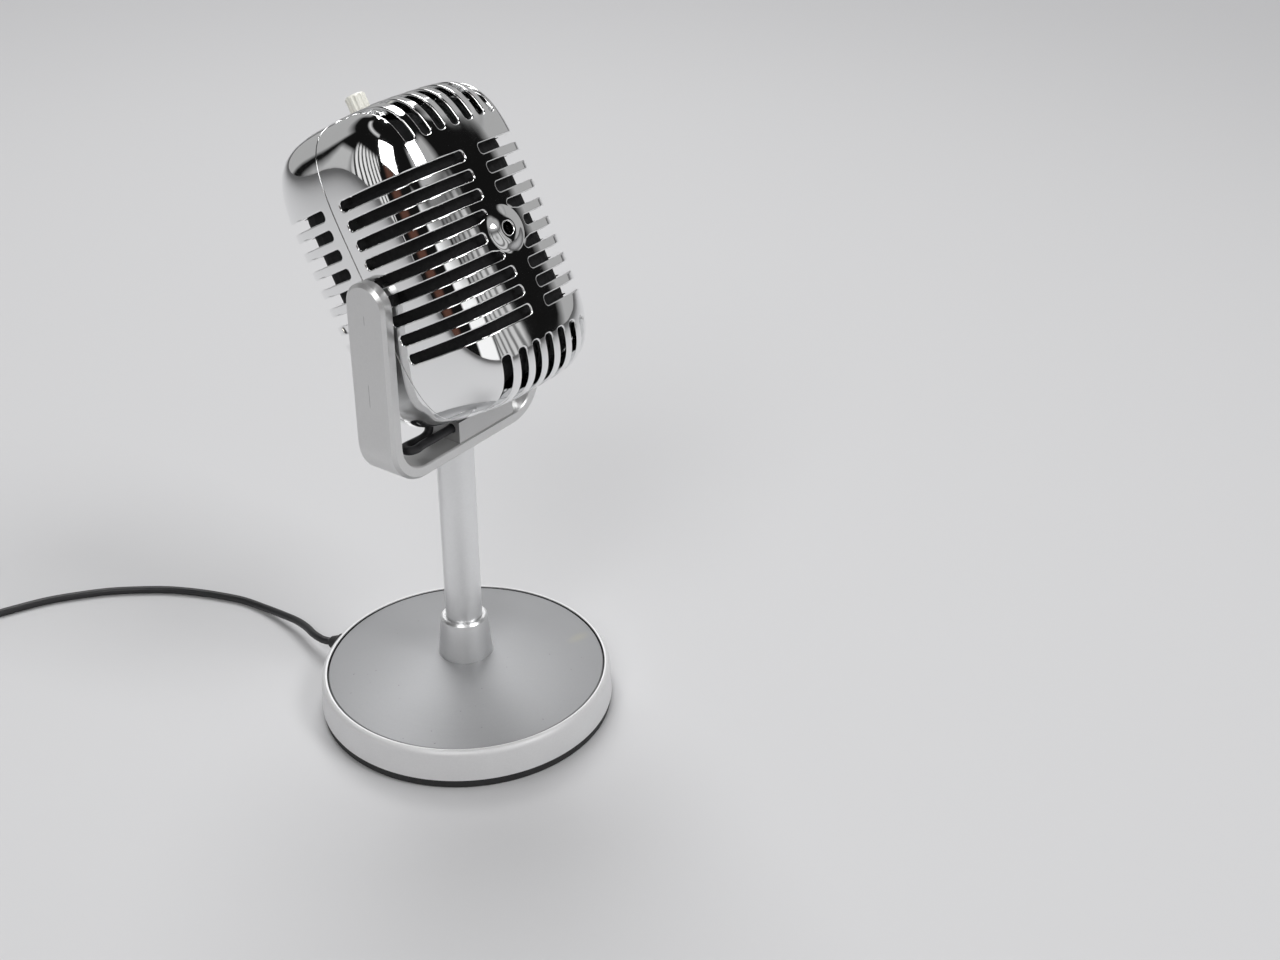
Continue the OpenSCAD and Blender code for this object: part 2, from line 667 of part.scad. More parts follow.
module circuit_board() {
    color([0.1, 0.35, 0.2]) place_head() difference() {
        translate([-board_w/2, board_y, board_low]) cube([board_w, board_t, board_top - board_low]);
        mirror_x() translate([standoff_x, board_y - past, standoff_z]) rotate([-90, 0, 0])
            cylinder(r = board_screw_d/2 + 0.1, h = board_t + 2*past);
    }
}

module board_screws() {
    color([0.6, 0.6, 0.62]) place_head() mirror_x() translate([standoff_x, board_y + board_t, standoff_z]) {
        rotate([-90, 0, 0]) cylinder(r = board_screw_d, h = 1);
        rotate([90, 0, 0]) cylinder(r = board_screw_d/2, h = board_t + 4);
    }
}

module switch_body() {
    color([0.2, 0.2, 0.22]) place_head() difference() {
        translate([-switch_w/2, switch_y - switch_w/2, switch_top - switch_h]) cube([switch_w, switch_w, switch_h]);
        translate([0, switch_y, button_low - button_travel - 0.4]) cylinder(r = button_stem_r + fit, h = switch_h);
    }
}

module switch_button() {
    low = switch_top + button_travel + 0.4;
    top = hh + button_rise;
    edge = 0.5;
    color([0.86, 0.84, 0.74]) place_head() translate([0, switch_y, 0]) {
        difference() {
            rotate_extrude() polygon([[0, button_low], [button_stem_r, button_low], [button_stem_r, low],
                [button_r, low], [button_r, top - edge], [button_r - edge, top], [0, top]]);
            for (i = [0:flutes-1]) rotate([0, 0, 360*i/flutes]) translate([button_r + 0.25, 0, hh])
                cylinder(r = 0.55, h = button_rise + past, $fn = 16);
        }
    }
}

// Leads
module inner_lead() {
    run_z = cover_top + cable_r + 0.3;
    rise = 3.4;
    turn = [for (a = [10:20:90]) (rise - rise*sin(a))*exit_way + [0, 0, run_z + rise - rise*cos(a)]];
    climb = [[0, 0, run_z + rise + 3], [0, 0, 40], [0.3, 0, under_z - 9], [0.7, 0, under_z],
        [0.9, -0.1, floor_z - 0.8]];
    hood = [[0.9, -0.8, floor_z + 1.4], [0.1, -2, lead_z - 0.8], [-1.6, lead_y + 0.2, lead_z]];
    route = [[lead_stop, exit_z], [lead_stop - 4, exit_z], [22, run_z], [12, run_z], [rise + 1.5, run_z]];
    run = [for (p = route) p[0]*exit_way + [0, 0, p[1]]];
    last = [for (d = [0.6, 0]) [hood_left + d, lead_y, lead_z]];
    color([0.08, 0.08, 0.08]) lead_tube(smooth(concat(run, turn, climb, hood, last), 2));
}

module head_lead() {
    mid = (lead_y + back_y)/2;
    bulge = 1.6;
    low = lead_z - 0.2;
    color([0.08, 0.08, 0.08]) tube(smooth([[hood_left, lead_y, lead_z], [hood_left - 2.2, lead_y, lead_z],
        [(hood_left + loop_left)/2, lead_y, lead_z], [loop_left + 2.4, lead_y, lead_z],
        [loop_left, mid - bulge, lead_z], [loop_left - 1.6, mid - 1.1, lead_z], [loop_left - 2.2, mid, lead_z],
        [loop_left - 1.6, mid + 1.1, lead_z],
        [loop_left, mid + bulge, low], [loop_left + 2.4, back_y + 0.1, low], [lead_in[0] - 2.4, back_y, low],
        [lead_in[0] - 0.5, back_y, low + 0.7], [lead_in[0], back_y, low + 2.4], lead_end - [0, 0, 0.6], lead_end], 3),
        cable_r, 8, [0.2, 1, -0.35]);
}

module board_lead() {
    up = [0, -sin(head_tilt), cos(head_tilt)];
    from = [lead_in[0], lead_in[1], -hh] + (lead_rise + 0.2)*up;
    back = board_y + board_t + cable_r + 0.1;
    near = standoff_x - board_screw_d - cable_r - 0.7;
    color([0.08, 0.08, 0.08]) place_head() tube(smooth([from, from + 2*up, [lead_in[0], back + 4.5, -0.7*hh],
        [-0.75*standoff_x, back + 2, -0.38*hh], [-head_post - cable_r - 0.6, back + 0.4, 0],
        [-near, back, board_low - 1], [-near, back, board_low + 6]], 2), cable_r, 8, [1, 0.1, 0]);
}

module cable() { color([0.08, 0.08, 0.08]) tube(smooth(cable_route, 2), cable_r, 8); }

// The coil: turns spiral in and out, and climb a layer in the half turn where they reverse
function coil_r(s) = let (u = s%(2*coil_turns)) coil_out_r - turn_pitch*min(u, 2*coil_turns - u);
function coil_layer(s) = let (k = [for (i = [1:coil_layers-1]) min(max((s - i*coil_turns)/0.5 + 0.5, 0), 1)])
    k*[for (i = k) 1];
function coil_point(s) = let (a = coil_start - 360*s)
    [coil_at[0] + coil_r(s)*cos(a), coil_at[1] + coil_r(s)*sin(a), coil_z + turn_pitch*coil_layer(s)];
coil_winding = [for (i = [0:coil_steps*coil_turns*coil_layers]) coil_point(i/coil_steps)];

module cable_coil() {
    first = coil_join - cable_d*coil_way + [0, 0, coil_z];
    last = coil_join + cable_d*coil_way + [0, 0, coil_top];
    gaps = [for (i = [0:len(coil_winding)-1]) for (k = [1:coil_turns*coil_layers]) for (j = [-1:1])
        if (i + k*coil_steps + j < len(coil_winding)) norm(coil_winding[i] - coil_winding[i + k*coil_steps + j])];
    echo("least gap of the coil to itself, mm", min(gaps) - cable_d);
    color([0.08, 0.08, 0.08]) tube(concat([first], coil_winding, [last]), cable_r, 6);
}

module cable_tail() { color([0.08, 0.08, 0.08]) tube(smooth(tail_route, 3), cable_r, 8); }

module cable_tie() {
    t = lift - 0.05;
    low = coil_out_r - coil_turns*turn_pitch - cable_r - 0.6;
    high = coil_out_r + cable_r + 0.3;
    top = coil_top + cable_r + 0.15;
    width = 5;
    color([0.1, 0.1, 0.1]) translate([coil_at[0], coil_at[1], 0]) rotate([0, 0, coil_start + 180]) rotate([90, 0, 0])
        translate([0, 0, -width/2]) linear_extrude(width) difference() {
            translate([low - t, 0]) square([high - low + 2*t, top + t]);
            translate([low, t]) square([high - low, top - t]);
        }
}

// Plug, drawn along its axis from the back of its strain relief
module place_plug() {
    translate([plug_at[0], plug_at[1], plug_z]) rotate([0, 0, plug_turn - 90]) rotate([-90, 0, 0]) children();
}

module plug_sleeve() {
    r = plug_d/2;
    end = relief_len + plug_len;
    rib = [[0, 0], [0.45, 0.1], [0.45, 1.2], [0, 1.3]];
    relief = [for (i = [0:3]) for (p = rib) let (at = i*2 + p[1]) [2 + at/relief_len - p[0] + 0.45, at]];
    core = jack_r + 1;
    color([0.1, 0.1, 0.1]) place_plug() rotate_extrude() polygon(concat([[0, 0]], relief, [[r - 0.9, relief_len],
        [r, relief_len + 0.9], [r, end - 1], [r - 1, end], [core + fit, end], [core + fit, end - 8], [0, end - 8]]));
}

module plug_core() {
    end = relief_len + plug_len;
    n = jack_r;
    color([0.75, 0.72, 0.6]) place_plug() translate([0, 0, end]) rotate_extrude()
        polygon(concat([[0, -7.95], [n + 1, -7.95], [n + 1, 0], [n, 0]], [for (z = ring_at) for (p = [[0, 0], [ring_depth, 0], [ring_depth, ring_t], [0, ring_t]])
        [n - p[0], z + p[1]]], [[n, jack_len - 2.3], [n - 0.5, jack_len - 1.7], [n - 0.15, jack_len - 1.1],
        [n - 0.85, jack_len - 0.3], [n - 1.25, jack_len], [0, jack_len]]));
}

module plug_rings() {
    end = relief_len + plug_len;
    color([0.1, 0.1, 0.1]) place_plug() for (z = ring_at) translate([0, 0, end + z]) difference() {
        cylinder(r = jack_r - 0.02, h = ring_t);
        translate([0, 0, -past]) cylinder(r = jack_r - ring_depth, h = ring_t + 2*past);
    }
}

base_housing();
top_plate();
rubber_foot();
base_cover();
weight_disc();
base_screws();
cable_grommet();
stem_collar();
stem_tube();
stem_nut();
yoke();
lead_hood();
pivot_pins();
pivot_washers();
front_shell();
rear_shell();
front_liner();
rear_liner();
core_plate();
case_screw();
pivot_bushes();
capsule_boot();
mic_capsule();
circuit_board();
board_screws();
switch_body();
switch_button();
inner_lead();
head_lead();
board_lead();
cable();
cable_coil();
cable_tail();
cable_tie();
plug_sleeve();
plug_core();
plug_rings();
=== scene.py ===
"""Looks of a desk microphone with a slotted chrome head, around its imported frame. Metres, +Z up."""
import math

import bpy
import numpy as np
from mathutils import Matrix


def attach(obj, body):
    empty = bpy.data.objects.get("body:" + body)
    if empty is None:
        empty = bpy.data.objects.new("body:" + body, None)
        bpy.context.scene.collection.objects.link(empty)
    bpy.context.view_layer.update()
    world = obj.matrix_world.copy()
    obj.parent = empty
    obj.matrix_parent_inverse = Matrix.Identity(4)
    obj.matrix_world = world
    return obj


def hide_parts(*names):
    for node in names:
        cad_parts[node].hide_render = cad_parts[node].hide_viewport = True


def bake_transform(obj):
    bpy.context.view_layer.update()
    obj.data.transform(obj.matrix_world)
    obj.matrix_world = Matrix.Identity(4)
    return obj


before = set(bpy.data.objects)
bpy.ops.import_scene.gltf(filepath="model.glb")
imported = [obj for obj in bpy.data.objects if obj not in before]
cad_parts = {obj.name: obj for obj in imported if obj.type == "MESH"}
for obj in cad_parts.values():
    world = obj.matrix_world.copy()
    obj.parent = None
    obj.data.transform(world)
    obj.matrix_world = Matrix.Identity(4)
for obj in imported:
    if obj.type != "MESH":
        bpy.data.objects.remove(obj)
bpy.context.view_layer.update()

MM = 0.001

# Driving sizes of the object, as built
PIVOT_Z = 124.8 * MM
PIVOT_DROP = 3.9 * MM
PIVOT_AHEAD = 0.6 * MM
HEAD_TILT = math.radians(28.7)
HALF_W, HALF_D, HALF_H = 24.1 * MM, 24.7 * MM, 37.3 * MM
CABLE_R = 1.1 * MM
BASE_R = 39.5 * MM
BASE_TURN = math.radians(12)

# Camera
LENS, SENSOR = 45.0, 36.0
VIEW_AZIMUTH = math.radians(-55.5)
VIEW_ELEVATION = math.radians(29.27)
VIEW_ROLL = math.radians(0.46)
CAMERA_AT = (-0.26688, -0.24021, 0.268)


def set_camera():
    """Points the camera along the photograph's own line of sight."""
    sin_a, cos_a = math.sin(VIEW_AZIMUTH), math.cos(VIEW_AZIMUTH)
    sin_e, cos_e = math.sin(VIEW_ELEVATION), math.cos(VIEW_ELEVATION)
    back = np.array([sin_a * cos_e, -cos_a * cos_e, sin_e])
    level = np.array([cos_a, sin_a, 0.0])
    rise = np.cross(back, level)
    right = math.cos(VIEW_ROLL) * level + math.sin(VIEW_ROLL) * rise
    up = math.cos(VIEW_ROLL) * rise - math.sin(VIEW_ROLL) * level
    data = bpy.data.cameras.new("camera")
    data.lens, data.sensor_width = LENS, SENSOR
    camera = bpy.data.objects.new("camera", data)
    rows = np.eye(4)
    rows[:3, 0], rows[:3, 1], rows[:3, 2], rows[:3, 3] = right, up, back, CAMERA_AT
    camera.matrix_world = Matrix(rows.tolist())
    bpy.context.collection.objects.link(camera)
    bpy.context.scene.camera = camera


def from_head(points):
    """Turns points of the upright head's own frame back by its tilt, about the pivot axis."""
    p = np.asarray(points, float)
    y, z = p[..., 1] + PIVOT_AHEAD, p[..., 2] + PIVOT_DROP
    c, s = math.cos(HEAD_TILT), math.sin(HEAD_TILT)
    return np.stack([p[..., 0], y * c + z * s, PIVOT_Z - y * s + z * c], axis=-1)


def mesh_piece(name, points, faces, smooth=True):
    """Puts an array of points and a list of faces into a new object at the origin."""
    mesh = bpy.data.meshes.new(name)
    mesh.from_pydata(np.asarray(points).reshape(-1, 3).tolist(), [], [list(face) for face in faces])
    mesh.polygons.foreach_set("use_smooth", np.full(len(mesh.polygons), smooth))
    mesh.update()
    piece = bpy.data.objects.new(name, mesh)
    bpy.context.collection.objects.link(piece)
    return piece


def grid_faces(rows, cols, wrap=False):
    """Four-sided faces of a grid of points, row after row, closed from last column to first if wrapped."""
    i, j = np.meshgrid(np.arange(rows - 1), np.arange(cols if wrap else cols - 1), indexing="ij")
    k = (j + 1) % cols
    corners = [i * cols + j, i * cols + k, (i + 1) * cols + k, (i + 1) * cols + j]
    return np.stack(corners, axis=-1).reshape(-1, 4)


def carried(path, radius, sides, upright=(0, 0, 1)):
    """A circle of the given radius at each path point, square to the path: centre + r(cos t u + sin t v)."""
    path = np.asarray(path, float)
    along = np.gradient(path, axis=0)
    along[0], along[-1] = path[1] - path[0], path[-1] - path[-2]
    along /= np.linalg.norm(along, axis=1)[:, None]
    u = np.cross(along, upright)
    u /= np.linalg.norm(u, axis=1)[:, None]
    v = np.cross(u, along)
    t = np.linspace(0, 2 * math.pi, sides, endpoint=False)[None, :, None]
    return path[:, None] + radius * (np.cos(t) * u[:, None] + np.sin(t) * v[:, None])


def tube(name, path, radius, sides=16, upright=(0, 0, 1)):
    """A closed tube along a path: its rings, and a fan of the first and of the last ring."""
    rings = carried(path, radius, sides, upright)
    count = len(rings)
    points = np.concatenate([rings.reshape(-1, 3), rings[:1].mean(axis=1), rings[-1:].mean(axis=1)])
    faces = grid_faces(count, sides, wrap=True).tolist()
    last = (count - 1) * sides
    for k in range(sides):
        faces.append([(k + 1) % sides, k, count * sides])
        faces.append([last + k, last + (k + 1) % sides, count * sides + 1])
    return mesh_piece(name, points, faces)


def smooth_path(points, steps):
    """A curve through the points: each stretch is a cubic of its two ends and their neighbours."""
    p = np.asarray(points, float)
    padded = np.concatenate([p[:1], p, p[-1:]])
    a, b, c, d = padded[:-3], padded[1:-2], padded[2:-1], padded[3:]
    t = (np.arange(steps) / steps)[None, :, None]
    a, b, c, d = a[:, None], b[:, None], c[:, None], d[:, None]
    curve = 0.5 * (2*b + (c - a)*t + (2*a - 5*b + 4*c - d)*t*t + (3*b - a - 3*c + d)*t**3)
    return np.concatenate([curve.reshape(-1, 3), p[-1:]])


# Cable: route over the desk, coil and tail, as in the construction
COIL_AT = (-62 * MM, 167 * MM)
COIL_START = math.radians(-128)
COIL_TURNS, COIL_LAYERS, COIL_STEPS = 5, 4, 32
TURN_PITCH = 2.68 * MM
COIL_OUT_R = 5.9 * 2 * CABLE_R + COIL_TURNS * TURN_PITCH / 2
COIL_LOW = CABLE_R + 0.45 * MM
GLAND_END = BASE_R + 4 * MM
EXIT_Z = 5.9 * MM
PLUG_AT = (-67 * MM, 194 * MM, 4 * MM)
PLUG_TURN = math.radians(8)
TAIL_STRAIGHT = 2.2 * MM


def cable_path():
    """The whole cable's centre line: given route, wound coil, given tail to the plug."""
    way = np.array([-math.sin(BASE_TURN), math.cos(BASE_TURN), 0])
    out = [(GLAND_END + d) * way + [0, 0, EXIT_Z - 0.03 * d] for d in (0, 3 * MM)]
    route = np.array([[-8.8, 50, 5.5], [-7.2, 54, 5], [-5.4, 60, 4], [-4.2, 68, 2.6], [-3.6, 76, 1.5],
                      [-4, 84, 1.1], [-6, 91, 1.1], [-9, 99, 1.1], [-13, 107, 1.1], [-18, 114, 1.1],
                      [-24, 121, 1.1], [-31, 127, 1.1], [-38, 132, 1.1], [-46, 136, 1.1],
                      [-55, 140, 1.2]]) * MM
    tail = np.array([[-83, 157.2, 7.8], [-86.9, 164.8, 5], [-86.7, 173.7, 3], [-81.8, 183.6, 2.6],
                     [-74.9, 190.9, 3.4]]) * MM
    on = np.array([math.sin(COIL_START), -math.cos(COIL_START), 0])
    s = np.arange(COIL_STEPS * COIL_TURNS * COIL_LAYERS + 1) / COIL_STEPS
    u = s % (2 * COIL_TURNS)
    r = COIL_OUT_R - TURN_PITCH * np.minimum(u, 2 * COIL_TURNS - u)
    layer = sum(np.clip((s - k * COIL_TURNS) / 0.5 + 0.5, 0, 1) for k in range(1, COIL_LAYERS))
    a = COIL_START - 2 * math.pi * s
    coil = np.stack([COIL_AT[0] + r * np.cos(a), COIL_AT[1] + r * np.sin(a),
                     COIL_LOW + TURN_PITCH * layer], axis=1)
    join = coil[0] * [1, 1, 0]
    top = coil[-1][2]
    into = [join - d * on + [0, 0, COIL_LOW] for d in (8 * MM, TAIL_STRAIGHT)]
    off = [join + d * on + [0, 0, top] for d in (TAIL_STRAIGHT, 5 * MM)]
    plug_way = np.array([math.cos(PLUG_TURN), math.sin(PLUG_TURN), 0])
    end = [np.array(PLUG_AT) - d * plug_way for d in (3.5 * MM, 0)]
    first = smooth_path(np.concatenate([out, route, into]), 3)
    last = smooth_path(np.concatenate([off, tail, end]), 4)
    return np.concatenate([first, coil, last])


set_camera()
CABLE_PATH = cable_path()
cable = tube("desk_cable", CABLE_PATH, CABLE_R, sides=12)
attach(cable, "stand")
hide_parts("cable", "cable_coil", "cable_tail")


# Leads inside the stem, over the yoke to the head, and inside the head, as in the construction: where the
# head lets the lead in, how far inside it core_lead starts, the loop's front and back y, and its height
LEAD_IN, ENTRY_RISE = (-9.32 * MM, 17.2 * MM), 2.6 * MM
LEAD_Y, BACK_Y = -3 * MM, -0.426 * MM
LEAD_Z = 85.586 * MM


def inner_path():
    """From the grommet under the deck, up the stem and out of the hood's side."""
    way = np.array([-math.sin(BASE_TURN), math.cos(BASE_TURN), 0])
    run = [d * MM * way + [0, 0, z * MM] for d, z in ((38, 5.9), (34, 5.9), (22, 5.4), (12, 5.4), (4.9, 5.4))]
    turn = [3.4 * MM * (1 - math.sin(a)) * way + [0, 0, (8.8 - 3.4 * math.cos(a)) * MM]
            for a in np.radians([10, 30, 50, 70, 90])]
    rest = np.array([[0, 0, 11.8], [0, 0, 40], [0.3, 0, 69.8], [0.7, 0, 78.8], [0.9, -0.1, 81.3],
                     [0.9, -0.8, 83.5], [0.1, -2, 84.8], [-1.6, -2.8, 85.586], [-3.6, -3, 85.586],
                     [-4.2, -3, 85.586]]) * MM
    return smooth_path(np.concatenate([run, turn, rest]), 5)


def loop_path():
    """From the hood's side in a flat loop to the left, back under the head and up into its lower slot."""
    mid, low = (LEAD_Y + BACK_Y) / 2, LEAD_Z - 0.2 * MM
    points = [(-4.2, LEAD_Y, LEAD_Z), (-6.4, LEAD_Y, LEAD_Z), (-10.7, LEAD_Y, LEAD_Z),
              (-14.8, LEAD_Y, LEAD_Z), (-17.2, mid - 1.6 * MM, LEAD_Z), (-18.8, mid - 1.1 * MM, LEAD_Z),
              (-19.4, mid, LEAD_Z),
              (-18.8, mid + 1.1 * MM, LEAD_Z), (-17.2, mid + 1.6 * MM, low), (-14.8, BACK_Y + 0.1 * MM, low),
              (-11.72, BACK_Y, low), (-9.82, BACK_Y, low + 0.7 * MM), (-9.32, BACK_Y, low + 2.4 * MM),
              (-9.32, BACK_Y, 88.755 * MM), (-9.32, BACK_Y, 89.355 * MM)]
    return smooth_path([(x * MM, y, z) for x, y, z in points], 6)


def head_path():
    """From the lower slot up the back of the circuit board, in the upright head's own frame."""
    rise = np.array([0, -math.sin(HEAD_TILT), math.cos(HEAD_TILT)])
    start = np.array([LEAD_IN[0], LEAD_IN[1], -HALF_H]) + ENTRY_RISE * rise
    rest = np.array([[-9.32, 13.1, -26.11], [-5.25, 10.6, -14.17], [-5.3, 9, 0], [-3.6, 8.6, 10],
                     [-3.6, 8.6, 17]]) * MM
    return smooth_path(np.concatenate([[start, start + 2 * MM * rise], rest]), 5)


stem_lead = tube("stem_lead", inner_path(), CABLE_R, 16, (1, 0.35, 0))
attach(stem_lead, "stand")
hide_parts("inner_lead")
LOOP = loop_path()
loop_lead = tube("loop_lead", LOOP, CABLE_R, 16, (0.2, 1, -0.35))
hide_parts("head_lead")
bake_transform(loop_lead)
core_lead = tube("core_lead", from_head(head_path()), CABLE_R, 16, (1, 0.1, 0))
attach(core_lead, "head")
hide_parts("board_lead")

# Chrome shells: the skin's roundness in plan and from the side, and the slots' spacing
PLAN_N, SIDE_N = 3.5, 4.7
PITCH = 4.66 * MM
# Half a slot's width, the radius of its corners and of its lip
SLOT_HALF, SLOT_CORNER, SLOT_LIP = 1.2 * MM, 0.9 * MM, 0.36 * MM
# Wall of the shells, and how deep the painted shade behind it goes, as a black wall down to the liner
SKIN_T, LINER_AT = 1.5 * MM, 3.25 * MM
# Plain strip between the slots and the seam, and the height where the top slots start
LAND, TOP_START = 3.1 * MM, 25.7 * MM
# Where the band of side slots ends, and how far out the top slots reach
BAND_TOP, SIDE_EDGE = 4.5 * PITCH, 3.5 * PITCH
# Half the gap at the seam, and the radius of its edges
SEAM_GAP, SEAM_ROUND = 0.07 * MM, 0.15 * MM
SEAM_EDGE = SEAM_GAP + SEAM_ROUND
# Openings for the pivot, the button and the ring, and the button's place behind the seam
PIN_HOLE_R, BUTTON_HOLE_R, BOSS_HOLE_R = 2.5 * MM, 2.8 * MM, 3.8 * MM
BUTTON_Y = 3.2 * MM
# Steps of the surfaces, and the least share between a grid line and a slot's end
PER_PITCH, ROUND_STEPS, FINE_STEPS = 8, 56, 400
SHARE_GAP = 0.004
# How far from the middle rib the side slots start, on their low and high side, in the rows beside the ring
SIDE_START = 2.7 * MM
RING_STARTS = {0: (7.0 * MM, 7.0 * MM), 1: (6.1 * MM, 3.9 * MM), -1: (3.9 * MM, 6.1 * MM)}
# How far from the seam the rear top slots end, in the columns beside the button
BUTTON_ENDS = {0: (8.3 * MM, 8.3 * MM), 1: (7 * MM, 4.2 * MM), -1: (4.2 * MM, 7 * MM)}


def front_y(x, z):
    """Depth of the skin: |x/w|^3.5 + |y/d|^3.5 = (1 - |z/h|^4.7)^(3.5/4.7), solved for y."""
    rim = np.maximum(1 - np.abs(z / HALF_H) ** SIDE_N, 0) ** (PLAN_N / SIDE_N)
    return HALF_D * np.maximum(rim - np.abs(x / HALF_W) ** PLAN_N, 0) ** (1 / PLAN_N)


def side_x(y, z):
    """Half width of the skin: the same equation solved for x."""
    rim = np.maximum(1 - np.abs(z / HALF_H) ** SIDE_N, 0) ** (PLAN_N / SIDE_N)
    return HALF_W * np.maximum(rim - np.abs(y / HALF_D) ** PLAN_N, 0) ** (1 / PLAN_N)


def top_z(x, y):
    """Height of the skin: the same equation solved for z."""
    plan = (np.abs(x / HALF_W) ** PLAN_N + np.abs(y / HALF_D) ** PLAN_N) ** (SIDE_N / PLAN_N)
    return HALF_H * np.maximum(1 - plan, 0) ** (1 / SIDE_N)


def level(p):
    """The skin's equation: (|x/w|^3.5 + |y/d|^3.5)^(4.7/3.5) + |z/h|^4.7, which is 1 on the skin."""
    x, y, z = np.abs(p[..., 0] / HALF_W), np.abs(p[..., 1] / HALF_D), np.abs(p[..., 2] / HALF_H)
    return (x ** PLAN_N + y ** PLAN_N) ** (SIDE_N / PLAN_N) + z ** SIDE_N


def skin_normal(p):
    """Slope of that expression, made one long."""
    x, y, z = np.abs(p[..., 0] / HALF_W), np.abs(p[..., 1] / HALF_D), np.abs(p[..., 2] / HALF_H)
    plan = (x ** PLAN_N + y ** PLAN_N) ** (SIDE_N / PLAN_N - 1)
    n = np.stack([plan * x ** (PLAN_N - 1) / HALF_W * np.sign(p[..., 0]),
                  plan * y ** (PLAN_N - 1) / HALF_D * np.sign(p[..., 1]),
                  z ** (SIDE_N - 1) / HALF_H * np.sign(p[..., 2])], axis=-1)
    return n / np.linalg.norm(n, axis=-1, keepdims=True)


def grown(p, spread):
    """Points moved out along the given axes, by halving, until they lie on the skin."""
    low, high = np.full(p.shape[:-1], 0.4), np.full(p.shape[:-1], 2.0)
    for _ in range(36):
        mid = (low + high) / 2
        inside = level(p * (1 + (mid[..., None] - 1) * spread)) < 1
        low, high = np.where(inside, mid, low), np.where(inside, high, mid)
    return p * (1 + (low[..., None] - 1) * spread)


def plan_angle(x, y):
    """Angle of a point of the skin round the head: tan a = (|y|/d) / (|x|/w)."""
    return np.arctan2(np.abs(y) / HALF_D, np.abs(x) / HALF_W)


def rise_angle(y, z):
    """Angle of a point of the skin up over the head: tan a = (|z|/h) / (|y|/d)."""
    return np.arctan2(np.abs(z) / HALF_H, np.abs(y) / HALF_D)


class Band:
    """The skin between the top and bottom slots. A place on it is a share of the way from the middle rib to
    the seam, and a height."""
    across = 2

    @staticmethod
    def ends(z):
        """The angles at the middle rib and at the seam, at a height."""
        return math.pi / 2, plan_angle(side_x(SEAM_EDGE, z), SEAM_EDGE)

    @classmethod
    def share(cls, x, y, z):
        """The share of the way round at a point of the skin."""
        first, last = cls.ends(z)
        return (plan_angle(x, y) - first) / (last - first)

    @classmethod
    def point(cls, share, z):
        """x = w r cos a, y = d r sin a, with r from the skin's equation at that height."""
        first, last = cls.ends(z)
        a = first + share * (last - first)
        reach = (np.abs(np.cos(a)) ** PLAN_N + np.abs(np.sin(a)) ** PLAN_N) ** (-1 / PLAN_N)
        reach = reach * np.maximum(1 - np.abs(z / HALF_H) ** SIDE_N, 0) ** (1 / SIDE_N)
        return np.stack([HALF_W * reach * np.cos(a), HALF_D * reach * np.sin(a), z], axis=-1)

    @classmethod
    def from_start(cls, x, z):
        """The share at a distance x from the middle."""
        return cls.share(x, front_y(x, z), z)

    @classmethod
    def from_end(cls, seam_y, z):
        """The share at a distance from the seam's plane."""
        return cls.share(side_x(seam_y, z), seam_y, z)


class Crown:
    """The skin of the top slots. A place on it is a share of the way from the face over the top to the seam,
    and an x."""
    across = 0

    @staticmethod
    def ends(x):
        """The angles at the face and at the seam, at an x."""
        return rise_angle(front_y(x, BAND_TOP), BAND_TOP), rise_angle(SEAM_EDGE, top_z(x, SEAM_EDGE))

    @classmethod
    def share(cls, x, y, z):
        """The share of the way over at a point of the skin."""
        first, last = cls.ends(x)
        return (rise_angle(y, z) - first) / (last - first)

    @classmethod
    def point(cls, share, x):
        """y = d s cos a and z = h s sin a, with s found on the skin."""
        first, last = cls.ends(x)
        a = first + share * (last - first)
        return grown(np.stack([x, HALF_D * np.cos(a), HALF_H * np.sin(a)], axis=-1), np.array([0, 1, 1]))

    @classmethod
    def from_start(cls, z, x):
        """The share at a height z on the face."""
        return cls.share(x, front_y(x, z), z)

    @classmethod
    def from_end(cls, seam_y, x):
        """The share at a distance from the seam's plane."""
        return cls.share(x, seam_y, top_z(x, seam_y))


def turned(first, second, angles, count):
    """Corner centres and outward directions along a slot's end: round one corner, along the edge and round
    the other."""
    arcs = SLOT_CORNER * np.abs(np.diff(angles))
    stops = np.cumsum([0, arcs[0], math.dist(first, second), arcs[1]])
    at = np.linspace(0, stops[-1], count)
    centre = np.stack([np.interp(at, stops, [a, a, b, b]) for a, b in zip(first, second)], axis=1)
    turn = np.interp(at, stops, [angles[0], angles[1], angles[1], angles[2]])
    return centre, np.stack([np.cos(turn), np.sin(turn)], axis=1)


